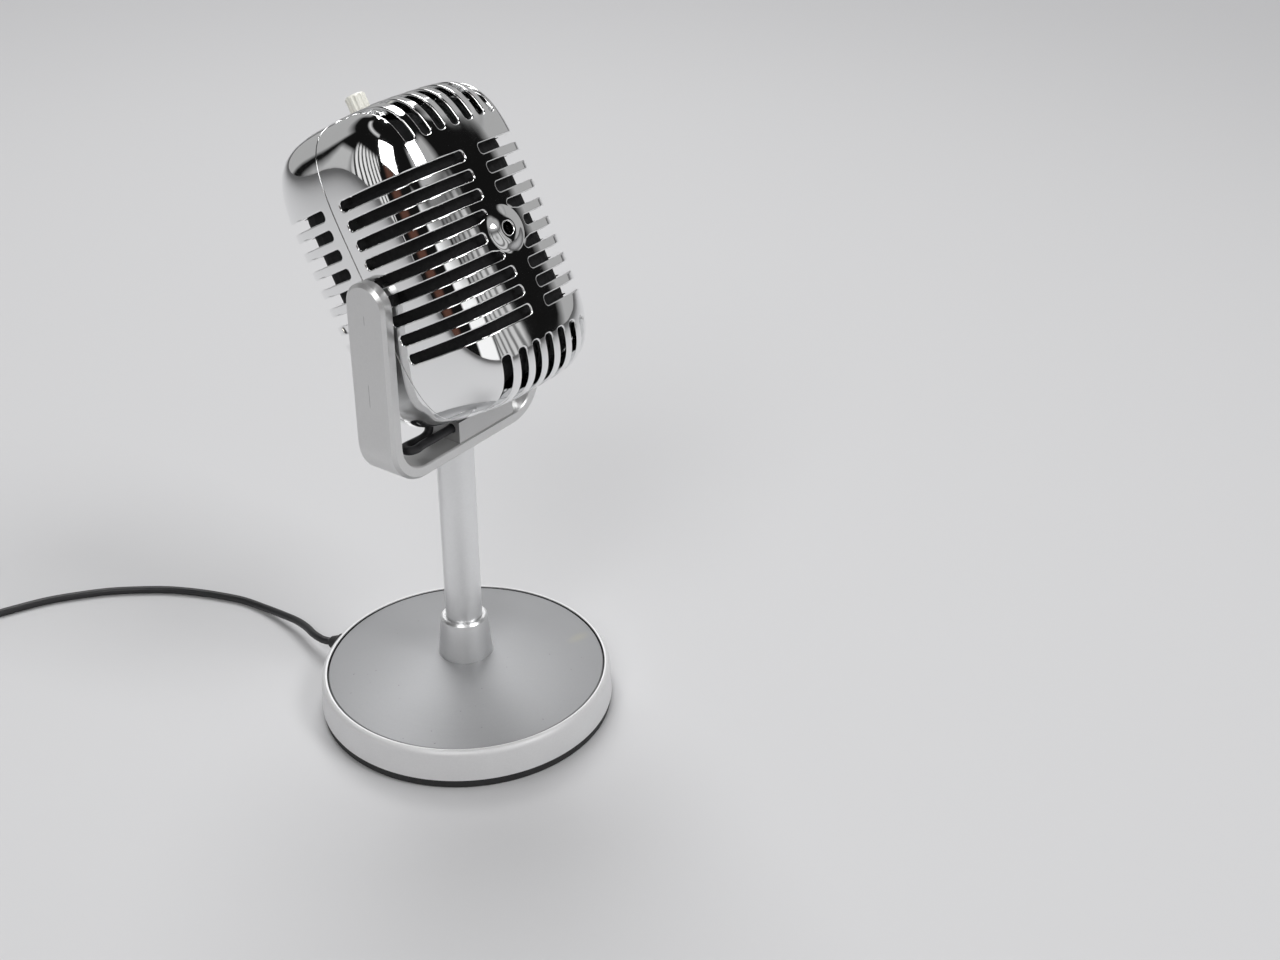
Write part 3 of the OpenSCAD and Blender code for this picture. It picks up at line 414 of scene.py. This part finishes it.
def slot_cell(patch, shares, middle, start, end):
    """A rectangle of skin with one slot: rings that blend from its edge to the slot's outline, a lip rounded
    by r(1 - sin t) aside and r(1 - cos t) deep, and a straight wall. start and end give the slot's ends on
    the low and the high side of its middle line."""
    half, inner = PITCH / 2, SLOT_HALF - SLOT_CORNER
    low_start, high_start = [s + SLOT_CORNER for s in start]
    low_end, high_end = [-s - SLOT_CORNER for s in end]
    sides = np.array([middle - inner, middle + inner])
    first = patch.from_start(np.array([low_start, high_start]), sides).max()
    last = patch.from_end(np.array([low_end, high_end]), sides).min()
    a = int(np.searchsorted(shares, first + SHARE_GAP))
    b = int(np.searchsorted(shares, last - SHARE_GAP)) - 1
    n = len(shares) - 1
    rungs = middle - half + np.arange(1, PER_PITCH) * PITCH / PER_PITCH
    upto, beyond = shares[:a], shares[b + 1:]
    lows, highs = np.full(n + 1, middle - half), np.full(n + 1, middle + half)
    outer = np.stack([
        np.concatenate([shares[a:b + 1], beyond, np.ones(len(rungs)), beyond[::-1], shares[a:b + 1][::-1],
                        upto[::-1], np.zeros(len(rungs)), upto]),
        np.concatenate([lows[a:b + 1], lows[b + 1:], rungs, highs[b + 1:], highs[a:b + 1],
                        highs[:a], rungs[::-1], lows[:a]])], axis=1)
    lean_end = math.atan2(low_end - high_end, 2 * inner)
    lean_start = math.atan2(high_start - low_start, -2 * inner) % (2 * math.pi)
    end_at, end_out = turned((low_end, middle - inner), (high_end, middle + inner),
                             (-math.pi / 2, lean_end, math.pi / 2), 2 * len(beyond) + len(rungs))
    start_at, start_out = turned((high_start, middle + inner), (low_start, middle - inner),
                                 (math.pi / 2, lean_start, math.pi * 1.5), 2 * a + len(rungs))

    def outline(grow):
        e, s = end_at + (SLOT_CORNER + grow) * end_out, start_at + (SLOT_CORNER + grow) * start_out
        side = np.full(b - a + 1, SLOT_HALF + grow)
        return np.stack([
            np.concatenate([shares[a:b + 1], patch.from_end(e[:, 0], e[:, 1]), shares[a:b + 1][::-1],
                            patch.from_start(s[:, 0], s[:, 1])]),
            np.concatenate([middle - side, e[:, 1], middle + side, s[:, 1]])], axis=1)

    brim = outline(SLOT_LIP)
    flat = [outer + (brim - outer) * w for w in (0, 0.15, 0.35, 0.55, 0.75, 0.9, 1)]
    points = [patch.point(ring[:, 0], ring[:, 1]) for ring in flat]
    normals = [skin_normal(ring) for ring in points]
    edge = outline(0)
    edge = patch.point(edge[:, 0], edge[:, 1])
    inward = edge - points[-1]
    inward -= (inward * normals[-1]).sum(axis=1, keepdims=True) * normals[-1]
    inward /= np.linalg.norm(inward, axis=1, keepdims=True)
    for t in np.radians([22, 45, 68, 90]):
        ring = outline(SLOT_LIP * (1 - math.sin(t)))
        ring = patch.point(ring[:, 0], ring[:, 1])
        out = skin_normal(ring)
        out[:, patch.across] = 0
        out /= np.linalg.norm(out, axis=1, keepdims=True)
        points.append(ring - SLOT_LIP * (1 - math.cos(t)) * out)
        normals.append(skin_normal(ring) * math.cos(t) + inward * math.sin(t))
    for depth in (SKIN_T, LINER_AT):
        points.append(edge - depth * out)
        normals.append(inward)
    faces = grid_faces(len(points), len(outer), wrap=True)
    # The last ring of wall faces, from the shell's inside face down to LINER_AT, is marked dark for the black
    # finish: painted shade inside the slot
    dark = np.arange(len(faces)) >= (len(points) - 2) * len(outer)
    return np.concatenate(points), np.concatenate(normals), faces, dark


def seam_strip(points):
    """The rounded edge of a shell beside the seam: a quarter round from the skin, then a straight wall."""
    normals = skin_normal(points) * [1, 0, 1]
    normals /= np.linalg.norm(normals, axis=1, keepdims=True)
    rings, turns = [points], [normals]
    for t in np.radians([30, 60, 90]):
        ring = points - SEAM_ROUND * (1 - math.cos(t)) * normals
        ring[:, 1] = SEAM_EDGE - SEAM_ROUND * math.sin(t)
        rings.append(ring)
        turns.append(normals * math.cos(t) + np.array([0, -1, 0]) * math.sin(t))
    for depth in (SKIN_T, LINER_AT):
        ring = points - depth * normals
        ring[:, 1] = SEAM_GAP
        rings.append(ring)
        turns.append(np.tile([0.0, -1, 0], (len(points), 1)))
    faces = grid_faces(len(rings), len(points))
    # The last wall faces, from the shell's inside face down to LINER_AT, are marked dark for the black
    # finish: painted shade inside the seam
    dark = np.arange(len(faces)) >= (len(rings) - 2) * (len(points) - 1)
    return np.concatenate(rings), np.concatenate(turns), faces, dark


def along_shares():
    """Grid lines round the band and over the crown: by x up to the outermost top slot, then by length."""
    lanes = np.arange(int(3.5 * PER_PITCH) + 1) * PITCH / PER_PITCH
    near = Band.from_start(lanes, np.full(len(lanes), BAND_TOP))

    def evened(patch, start, across, count):
        fine = np.linspace(start, 1, FINE_STEPS)
        curve = patch.point(fine, np.full(FINE_STEPS, across))
        gone = np.concatenate([[0], np.cumsum(np.linalg.norm(np.diff(curve, axis=0), axis=1))])
        return np.interp(np.linspace(0, gone[-1], count + 1), gone, fine)

    round_band = evened(Band, near[-1], BAND_TOP, ROUND_STEPS)
    return np.concatenate([near[:-1], round_band]), evened(Crown, 0, 0.0, ROUND_STEPS)


def corner_patch(band, crown):
    """The plain shoulder between band and crown: blends their edge curves and moves them out to the skin."""
    a = Crown.point(crown, np.full(len(crown), SIDE_EDGE))
    b = Band.point(band[-len(crown):], np.full(len(crown), BAND_TOP))
    w = np.linspace(0, 1, 25)[None, :, None]
    mixed = a[:, None] * (1 - w) + b[:, None] * w
    points = grown(mixed, np.array([1, 0, 1]))
    points[:, 0], points[:, -1], points[0] = a, b, a[0]
    flat = points.reshape(-1, 3)
    faces = grid_faces(*points.shape[:2])
    return (flat, skin_normal(flat), faces, np.zeros(len(faces), bool)), points[-1]


def half_shell(rear):
    """All the patches of one shell in the head's own frame, joined along their shared edges."""
    band, crown = along_shares()
    facing = 1 if rear else -1
    parts = []

    def put(part, flips):
        points, normals, faces, dark = part
        parts.append((points * flips, normals * flips, faces, dark))

    rungs = np.linspace(-BAND_TOP, BAND_TOP, 9 * PER_PITCH + 1)
    side_edge = np.stack([side_x(SEAM_EDGE, rungs), np.full(len(rungs), SEAM_EDGE), rungs], axis=1)
    for row in range(-4, 5):
        starts = RING_STARTS.get(row, (SIDE_START, SIDE_START))
        cell = slot_cell(Band, band, row * PITCH, starts, (LAND, LAND))
        for side in (-1, 1):
            put(cell, (side, facing, 1))
    for side in (-1, 1):
        put(seam_strip(side_edge), (side, facing, 1))
    lanes = np.linspace(-SIDE_EDGE, SIDE_EDGE, 7 * PER_PITCH + 1)
    top_edge = np.stack([lanes, np.full(len(lanes), SEAM_EDGE), top_z(lanes, SEAM_EDGE)], axis=1)
    shoulder, shoulder_edge = corner_patch(band, crown)
    for end in (-1, 1):
        for column in range(-3, 4):
            ends = (LAND, LAND)
            if rear and end == 1:
                ends = BUTTON_ENDS.get(column, ends)
            put(slot_cell(Crown, crown, column * PITCH, (TOP_START, TOP_START), ends), (1, facing, end))
        put(seam_strip(top_edge), (1, facing, end))
        for side in (-1, 1):
            put(shoulder, (side, facing, end))
            put(seam_strip(shoulder_edge), (side, facing, end))
    counts = np.cumsum([0] + [len(part[0]) for part in parts])
    points = np.concatenate([part[0] for part in parts])
    normals = np.concatenate([part[1] for part in parts])
    faces = np.concatenate([part[2] + at for part, at in zip(parts, counts)])
    dark = np.concatenate([part[3] for part in parts])
    return points, normals, faces, dark


def shell_piece(name, rear, node):
    """A chrome shell: its patches welded, its holes opened, its faces turned outward, its normals kept."""
    points, normals, faces, dark = half_shell(rear)
    middle = points[faces].mean(axis=1)
    from_pin = np.hypot(middle[:, 1] + PIVOT_AHEAD, middle[:, 2] + PIVOT_DROP)
    keep = ~((np.abs(middle[:, 0]) > HALF_W / 2) & (from_pin < PIN_HOLE_R))
    if rear:
        off = points[:, :2] - [0, BUTTON_Y]
        far = np.linalg.norm(off, axis=1)
        from_button = np.hypot(middle[:, 0], middle[:, 1] - BUTTON_Y)
        keep &= ~((middle[:, 2] > HALF_H / 2) & (from_button < BUTTON_HOLE_R))
        snap = (points[:, 2] > HALF_H / 2) & (far < BUTTON_HOLE_R) & (far > 0.5 * MM)
        points[snap, :2] = [0, BUTTON_Y] + off[snap] / far[snap, None] * BUTTON_HOLE_R
    else:
        from_boss = np.hypot(middle[:, 0], middle[:, 2])
        keep &= ~((middle[:, 1] < -HALF_D / 2) & (from_boss < BOSS_HOLE_R))
    faces, dark = faces[keep], dark[keep]
    _, first, same = np.unique(np.round(points, 7), axis=0, return_index=True, return_inverse=True)
    points, normals, faces = points[first], normals[first], same.reshape(-1)[faces]
    normals /= np.linalg.norm(normals, axis=1, keepdims=True)
    a, b, c, d = (points[faces[:, k]] for k in range(4))
    wrong = (np.cross(c - a, d - b) * normals[faces].sum(axis=1)).sum(axis=1) < 0
    faces[wrong] = faces[wrong][:, ::-1]
    whole = (np.diff(np.sort(faces, axis=1), axis=1) > 0).all(axis=1)
    corners = [list(face) if ok else list(dict.fromkeys(face)) for face, ok in zip(faces.tolist(), whole)]
    full = np.array([len(face) > 2 for face in corners])
    corners, dark = [face for face, ok in zip(corners, full) if ok], dark[full]
    piece = mesh_piece(name, from_head(points), corners)
    turn = np.array(Matrix.Rotation(-HEAD_TILT, 3, "X"))
    mesh = piece.data
    # Faces marked dark take the second, black finish: painted shade on the walls past the shell's thickness
    mesh.polygons.foreach_set("material_index", dark.astype(np.int32))
    mesh.normals_split_custom_set_from_vertices((normals @ turn.T).tolist())
    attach(piece, "head")
    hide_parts(node)


# Ring round the case screw's hole: radii of its foot and top, its height, and the hole's own sizes
RING_R, RING_TOP_R, RING_H, RING_SINK = 6.4 * MM, 2.1 * MM, 0.89 * MM, 0.06 * MM
HOLE_R, HOLE_LIP, HOLE_DEEP = 1.6 * MM, 0.25 * MM, 7.5 * MM


def front_boss():
    """The low dome round the front's hole, turned from a profile of radius and height, with the hole's wall.
    The height climbs as t^2 (3 - 2t) while the radius shrinks evenly, and ends in a quarter-round lip."""
    step = np.linspace(0, 1, 28)
    slope = RING_R + (RING_TOP_R - RING_R) * step
    rise = (RING_H + RING_SINK) * (step ** 2 * (3 - 2 * step)) - RING_SINK
    rim = np.radians([20, 45, 70, 90])
    lip = HOLE_R + HOLE_LIP * (1 - np.sin(rim)), RING_H - HOLE_LIP * (1 - np.cos(rim))
    radii = np.concatenate([slope, lip[0], [HOLE_R, HOLE_R, HOLE_R + 1 * MM]])
    heights = np.concatenate([rise, lip[1], [-SKIN_T, -HOLE_DEEP, -HOLE_DEEP]])
    t = np.linspace(0, 2 * math.pi, 96, endpoint=False)
    x, z = radii[:, None] * np.cos(t), radii[:, None] * np.sin(t)
    heights = heights[:, None]
    y = -front_y(x, z) * (heights > -1 * MM) - HALF_D * (heights <= -1 * MM) - heights
    points = from_head(np.stack([x, y, z], axis=-1))
    piece = mesh_piece("front_boss", points, grid_faces(len(radii), len(t), wrap=True))
    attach(piece, "head")


shell_piece("front_skin", False, "front_shell")
shell_piece("rear_skin", True, "rear_shell")
front_boss()


# Shader maths: a value of a node tree that Python's operators work on
class Value:
    """A socket of a finish. Each operator adds a Math node with it and the other value."""

    def __init__(self, finish, socket):
        self.finish, self.socket = finish, socket

    def maths(self, operation, *values):
        """A Math node over the values."""
        return self.finish.add("ShaderNodeMath", {"operation": operation}, list(values))

    def __add__(self, other):
        return self.maths("ADD", self, other)

    def __sub__(self, other):
        return self.maths("SUBTRACT", self, other)

    def __rsub__(self, other):
        return self.maths("SUBTRACT", other, self)

    def __mul__(self, other):
        return self.maths("MULTIPLY", self, other)

    def __lt__(self, other):
        return self.maths("LESS_THAN", self, other)

    __radd__, __rmul__ = __add__, __mul__


class Nodes:
    """A node tree, with the one method that adds a node and the patterns made from it."""

    def __init__(self, tree):
        self.tree = tree

    def add(self, kind, settings=None, values=None, output=0):
        """Adds a node: its settings first, then its sockets' values or links, by place or by name."""
        node = self.tree.nodes.new(kind)
        for label, value in (settings or {}).items():
            setattr(node, label, value)
        pairs = values.items() if isinstance(values, dict) else enumerate(values or [])
        for key, value in pairs:
            self.put(node.inputs[key], value)
        return Value(self, node.outputs[output]) if len(node.outputs) else None

    def put(self, socket, value):
        """Links a value to a socket, or sets a constant on it."""
        if isinstance(value, Value):
            self.tree.links.new(value.socket, socket)
        else:
            socket.default_value = value

    def axis(self, vector, which):
        """The X, Y or Z part of a vector."""
        return self.add("ShaderNodeSeparateXYZ", None, [vector], output="XYZ".index(which))

    def length(self, vector):
        """The length of a vector."""
        return self.add("ShaderNodeVectorMath", {"operation": "LENGTH"}, [vector], output=1)

    def noise(self, vector, scale, detail):
        """Cloudy noise over the coordinates."""
        return self.add("ShaderNodeTexNoise", None, {"Vector": vector, "Scale": scale, "Detail": detail})

    def ramp(self, value, low, high, start=0.0, end=1.0):
        """A straight climb from start at low to end at high, held beyond them."""
        return self.add("ShaderNodeMapRange", None, {"Value": value, "From Min": low, "From Max": high,
                                                     "To Min": start, "To Max": end})

    def blend(self, factor, first, second):
        """Mixes two colours. The Mix node has its factor at place 0 and its colours at places 6 and 7."""
        first, second = [(*c, 1) if isinstance(c, tuple) else c for c in (first, second)]
        return self.add("ShaderNodeMix", {"data_type": "RGBA"}, {0: factor, 6: first, 7: second}, output=2)

    def gate(self, value, low, high, soft):
        """One between low and high, nought outside, with soft edges."""
        return self.ramp(value, low - soft, low + soft) * self.ramp(value, high - soft, high + soft, 1.0, 0.0)


class Finish(Nodes):
    """A material with its shader; constants are set straight on the shader's sockets."""

    def __init__(self, name, **constants):
        self.material = bpy.data.materials.new(name)
        self.material.use_nodes = True
        super().__init__(self.material.node_tree)
        self.shader = self.tree.nodes["Principled BSDF"]
        for label, value in constants.items():
            self.shader.inputs[label.replace("_", " ")].default_value = value

    def feed(self, label, value):
        """Gives a socket of the shader a value that changes over the surface."""
        self.put(self.shader.inputs[label], value)

    def drawn(self):
        """The colour so far."""
        return Value(self, self.shader.inputs["Base Color"].links[0].from_socket)

    def place(self, scale=(1, 1, 1), at=(0, 0, 0)):
        """Object coordinates, moved so that a point of the object is their zero, then stretched."""
        object_at = self.add("ShaderNodeTexCoord", output=3)
        moved = self.add("ShaderNodeVectorMath", {"operation": "SUBTRACT"}, [object_at, at])
        return self.add("ShaderNodeVectorMath", {"operation": "MULTIPLY"}, [moved, scale])

    def bump(self, height, distance):
        """Tilts the surface as if it rose by the given distance where the height is one."""
        normal = self.add("ShaderNodeBump", None, {"Height": height, "Distance": distance, "Strength": 1.0})
        self.feed("Normal", normal)


def wear(*names):
    """Gives pieces or CAD nodes a finish: wear(names)(finish)."""
    def dress(finish):
        for name in names:
            mesh = bpy.data.objects[name].data
            mesh.materials.clear()
            mesh.materials.append(finish.material)
    return dress


def chrome():
    """Bright plating: nearly mirror smooth, slightly wavy, with a faint haze of handling."""
    f = Finish("bright_chrome", Base_Color=(0.9, 0.903, 0.905, 1), Metallic=1.0)
    at = f.place()
    haze = f.ramp(f.noise(at, 90, 4), 0.4, 0.75)
    marks = f.ramp(f.noise(f.place((1, 1, 6)), 500, 2), 0.62, 0.75)
    f.feed("Roughness", 0.03 + haze * 0.05 + marks * 0.05)
    f.bump(f.noise(at, 120, 2), 0.04 * MM)
    return f


def satin(name, colour, rough, metallic=0.7, grain=0.004 * MM):
    """Sprayed or rolled satin metal: a fine grain, slightly cloudy in shade and roughness."""
    f = Finish(name, Metallic=metallic)
    cloud = f.ramp(f.noise(f.place(), 60, 3), 0.3, 0.7)
    fine = f.ramp(f.noise(f.place(), 1800, 2), 0.3, 0.7)
    dark = tuple(c * 0.96 for c in colour)
    light = tuple(min(c * 1.03, 1.0) for c in colour)
    f.feed("Base Color", f.blend(cloud * 0.6 + fine * 0.4, dark, light))
    f.feed("Roughness", rough - 0.03 + cloud * 0.04 + fine * 0.02)
    f.bump(fine, grain)
    return f


def plain(name, colour, rough):
    """Moulded plastic or rubber: one colour with slight mottling and a fine skin."""
    f = Finish(name)
    fine = f.noise(f.place(), 1500, 3)
    cloud = f.noise(f.place(), 70, 2)
    dark = tuple(c * 0.85 for c in colour)
    light = tuple(min(c * 1.15, 1.0) for c in colour)
    f.feed("Base Color", f.blend(f.ramp(cloud, 0.3, 0.7), dark, light))
    f.feed("Roughness", rough + f.ramp(fine, 0.3, 0.7, -0.05, 0.05))
    f.bump(fine, 0.02 * MM)
    return f


# Middle of the plate's smudge, width of the groove's painted shade round the plate, and each scratch's y,
# depth under the arm's top and half length
SMUDGE_AT = (25.7 * MM, -18.8 * MM, 0)
GROOVE_W = 0.36 * MM
SCRATCHES = ((0.1 * MM, 8.8 * MM, 1.1 * MM), (0.4 * MM, 27.9 * MM, 2.9 * MM))


def plate_metal():
    """The plate's satin, with a small yellowish smudge at the front and a few tiny dark specks."""
    f = satin("plate_silver", (0.375, 0.378, 0.388), 0.5, metallic=0.4)
    away = f.length(f.place((0.35, 1, 0), SMUDGE_AT))
    specks = f.ramp(f.noise(f.place(), 900, 1), 0.77, 0.8, 0.0, 0.45)
    smudged = f.blend(f.ramp(away, 0.4 * MM, 1.9 * MM, 0.3, 0.0), f.drawn(), (0.52, 0.5, 0.36))
    f.feed("Base Color", f.blend(specks, smudged, (0.08, 0.08, 0.08)))
    return f


def rim_metal():
    """The housing's satin, with painted shade down the groove between its rim and the plate."""
    f = satin("rim_silver", (0.78, 0.78, 0.785), 0.5, metallic=0.4, grain=0.002 * MM)
    plate_r = max(corner[0] for corner in bpy.data.objects["top_plate"].bound_box)
    # Painted shade: a near-black ring on the housing round the plate's edge, where the groove lies in shade
    painted_groove_shade = f.gate(f.length(f.place((1, 1, 0))), plate_r - 2 * MM, plate_r + GROOVE_W, 0.06 * MM)
    f.feed("Base Color", f.blend(painted_groove_shade, f.drawn(), (0.02, 0.02, 0.02)))
    return f


def yoke_metal():
    """The bar's satin, with two short dark scratches outside the left arm."""
    f = satin("yoke_silver", (0.67, 0.67, 0.67), 0.34)
    top = max(corner[2] for corner in bpy.data.objects["yoke"].bound_box)
    for y, down, half in SCRATCHES:
        at = f.place((1, 1, 1), (0, y, top - down))
        along = f.gate(f.axis(at, "Z"), -half, half, 0.3 * MM)
        mark = f.gate(f.axis(at, "Y"), -0.05 * MM, 0.05 * MM, 0.08 * MM) * along * (f.axis(at, "X") < 0.0)
        f.feed("Base Color", f.blend(mark * 0.75, f.drawn(), (0.06, 0.06, 0.06)))
    return f


bright = chrome()
wear("front_skin", "rear_skin", "front_boss")(bright)
wear("base_housing")(rim_metal())
wear("top_plate")(plate_metal())
wear("stem_collar", "stem_tube")(
    satin("stem_silver", (0.82, 0.825, 0.83), 0.32, metallic=0.85, grain=0.0007 * MM))
wear("yoke")(yoke_metal())
wear("lead_hood")(satin("hood_silver", (0.55, 0.55, 0.55), 0.36))
wear("base_screws", "stem_nut", "pivot_pins", "board_screws", "weight_disc")(
    satin("screw_steel", (0.5, 0.5, 0.52), 0.4))
wear("rubber_foot", "cable_grommet", "capsule_boot")(plain("black_rubber", (0.018, 0.018, 0.019), 0.62))
wear("base_cover", "cable_tie", "plug_rings", "pivot_washers", "switch_body", "core_plate")(
    plain("black_plastic", (0.02, 0.02, 0.021), 0.5))
# The liners' own black, also put on the skins' deep wall faces as painted shade
liner_black_and_shade = plain("black_gauze_and_painted_shade", (0.004, 0.004, 0.005), 0.85)
wear("front_liner", "rear_liner")(liner_black_and_shade)
for skin in ("front_skin", "rear_skin"):
    bpy.data.objects[skin].data.materials.append(liner_black_and_shade.material)
wear("switch_button")(plain("ivory_plastic", (0.86, 0.85, 0.78), 0.35))
wear("pivot_bushes")(plain("black_nylon", (0.03, 0.03, 0.03), 0.5))
wear("case_screw")(satin("black_steel", (0.045, 0.045, 0.047), 0.5))
wear("circuit_board")(plain("green_lacquer", (0.02, 0.12, 0.05), 0.35))
wear("mic_capsule")(satin("capsule_metal", (0.6, 0.6, 0.6), 0.35))
wear("plug_core")(satin("nickel", (0.7, 0.68, 0.62), 0.15, metallic=1.0))
wear("desk_cable", "plug_sleeve", "stem_lead", "loop_lead", "core_lead")(
    plain("cable_black", (0.016, 0.016, 0.018), 0.4))


# Stage: the backdrop's shade for the camera, where the floor fades into it, the strength of the room's light,
# and the shades of its pale and dark parts
BACKDROP = (0.6, 0.6, 0.615, 1)
FLOOR_HALF, FADE_FROM, FADE_TO = 6.0, 0.6, 1.7
ROOM = 0.86
PALE, DIM = 0.47, 0.008
DEGREES = 180 / math.pi


def make_floor():
    """A wide pale floor under the object. Far from it the camera sees the backdrop's shade."""
    around = ((-1, -1), (1, -1), (1, 1), (-1, 1))
    corners = [[x * FLOOR_HALF, y * FLOOR_HALF, 0] for x, y in around]
    floor = mesh_piece("floor", corners, [[0, 1, 2, 3]], smooth=False)
    f = Finish("pale_floor", Base_Color=(0.655, 0.655, 0.665, 1), Roughness=0.9)
    away = f.length(f.place())
    rays = f.add("ShaderNodeLightPath")
    glow = f.add("ShaderNodeEmission", None, {"Color": BACKDROP})
    far = f.ramp(away, FADE_FROM, FADE_TO) * rays
    mixed = f.add("ShaderNodeMixShader", None, [far, Value(f, f.shader.outputs[0]), glow])
    f.put(f.tree.nodes["Material Output"].inputs["Surface"], mixed)
    floor.data.materials.append(f.material)


def lamp(name, at, size, power, aim=(0, 0, 0.08), shape="SQUARE"):
    """A soft lamp that looks at the object."""
    data = bpy.data.lights.new(name, "AREA")
    data.shape, data.size, data.energy = shape, size, power
    piece = bpy.data.objects.new(name, data)
    back = np.array(at, float) - aim
    back /= np.linalg.norm(back)
    side = np.cross((0.0, 0.0, 1.0), back)
    side /= np.linalg.norm(side)
    rows = np.eye(4)
    rows[:3, 0], rows[:3, 1], rows[:3, 2], rows[:3, 3] = side, np.cross(back, side), back, at
    piece.matrix_world = Matrix(rows.tolist())
    bpy.context.collection.objects.link(piece)


def make_world():
    """A room, drawn by each direction's angle round the object and its angle above the floor, in degrees. It
    has a pale backdrop behind the object and a pale strip over it, streaks and a window on the camera's side,
    thin dashes and panels to the left and a reddish strip, and is dark elsewhere. The camera itself sees an
    even pale shade."""
    world = bpy.data.worlds.new("studio")
    world.use_nodes = True
    bpy.context.scene.world = world
    w = Nodes(world.node_tree)
    w.tree.nodes.clear()
    way = w.add("ShaderNodeTexCoord")
    x, y, z = (w.axis(way, which) for which in "XYZ")
    round_at = w.add("ShaderNodeMath", {"operation": "ARCTAN2"}, [y, x]) * DEGREES
    above = w.add("ShaderNodeMath", {"operation": "ARCSINE"}, [z]) * DEGREES
    low = w.gate(above, -3, 27, 3)
    lean = round_at - above * 0.35
    backdrop = w.gate(lean, -40, 104, 3) * w.ramp(above, 26.0, 36.0, PALE, 0.0)
    over = (w.gate(lean, -38, 62, 4) + w.gate(round_at, -104, -54, 4)) * w.gate(above, 31, 49, 3) * 0.46
    fine = w.add("ShaderNodeMath", {"operation": "SINE"}, [round_at + above * 0.3])
    coarse = w.add("ShaderNodeMath", {"operation": "SINE"}, [round_at * 0.8 + above * 0.2])
    streaks = w.gate(round_at, -90, -50, 2) * w.ramp(coarse, -0.3, 0.9, 0.7, 0.2)
    window = w.gate(round_at, -129, -94, 2) * 1.15
    dashes = w.gate(round_at, 142, 181, 3) * w.ramp(fine, 0.1, 0.5, 0.95, 0.04)
    beside = w.gate(round_at, 118, 140, 4) * w.gate(above, -3, 16, 3) * 0.55
    high = w.gate(round_at, 100, 180, 4) * w.gate(above, 55, 60, 2) * 0.7
    reddish = w.gate(round_at, -170, -155, 3) * low
    colour = w.blend(reddish, (0.0, 0.0, 0.0), (0.11, 0.047, 0.032))
    shade = backdrop + over + low * (streaks + window + dashes) + beside + high + DIM
    grey = w.add("ShaderNodeCombineColor", None, [shade] * 3)
    total = w.add("ShaderNodeVectorMath", {"operation": "ADD"}, [grey, colour])
    room = w.add("ShaderNodeBackground", None, {"Color": total, "Strength": ROOM})
    seen = w.add("ShaderNodeBackground", None, {"Color": BACKDROP})
    rays = w.add("ShaderNodeLightPath")
    mixed = w.add("ShaderNodeMixShader", None, [rays, room, seen])
    w.add("ShaderNodeOutputWorld", None, [mixed])


make_floor()
make_world()
lamp("overhead", (0.5, 0.5, 1.25), 0.8, 11)
lamp("spot", (0.02, 0.12, 1.3), 0.14, 1.2, shape="DISK")
lamp("left", (-0.95, -0.35, 1.0), 0.6, 5)
lamp("front", (0.1, -1.0, 1.15), 0.45, 6)
bpy.context.scene.view_settings.view_transform = "Standard"
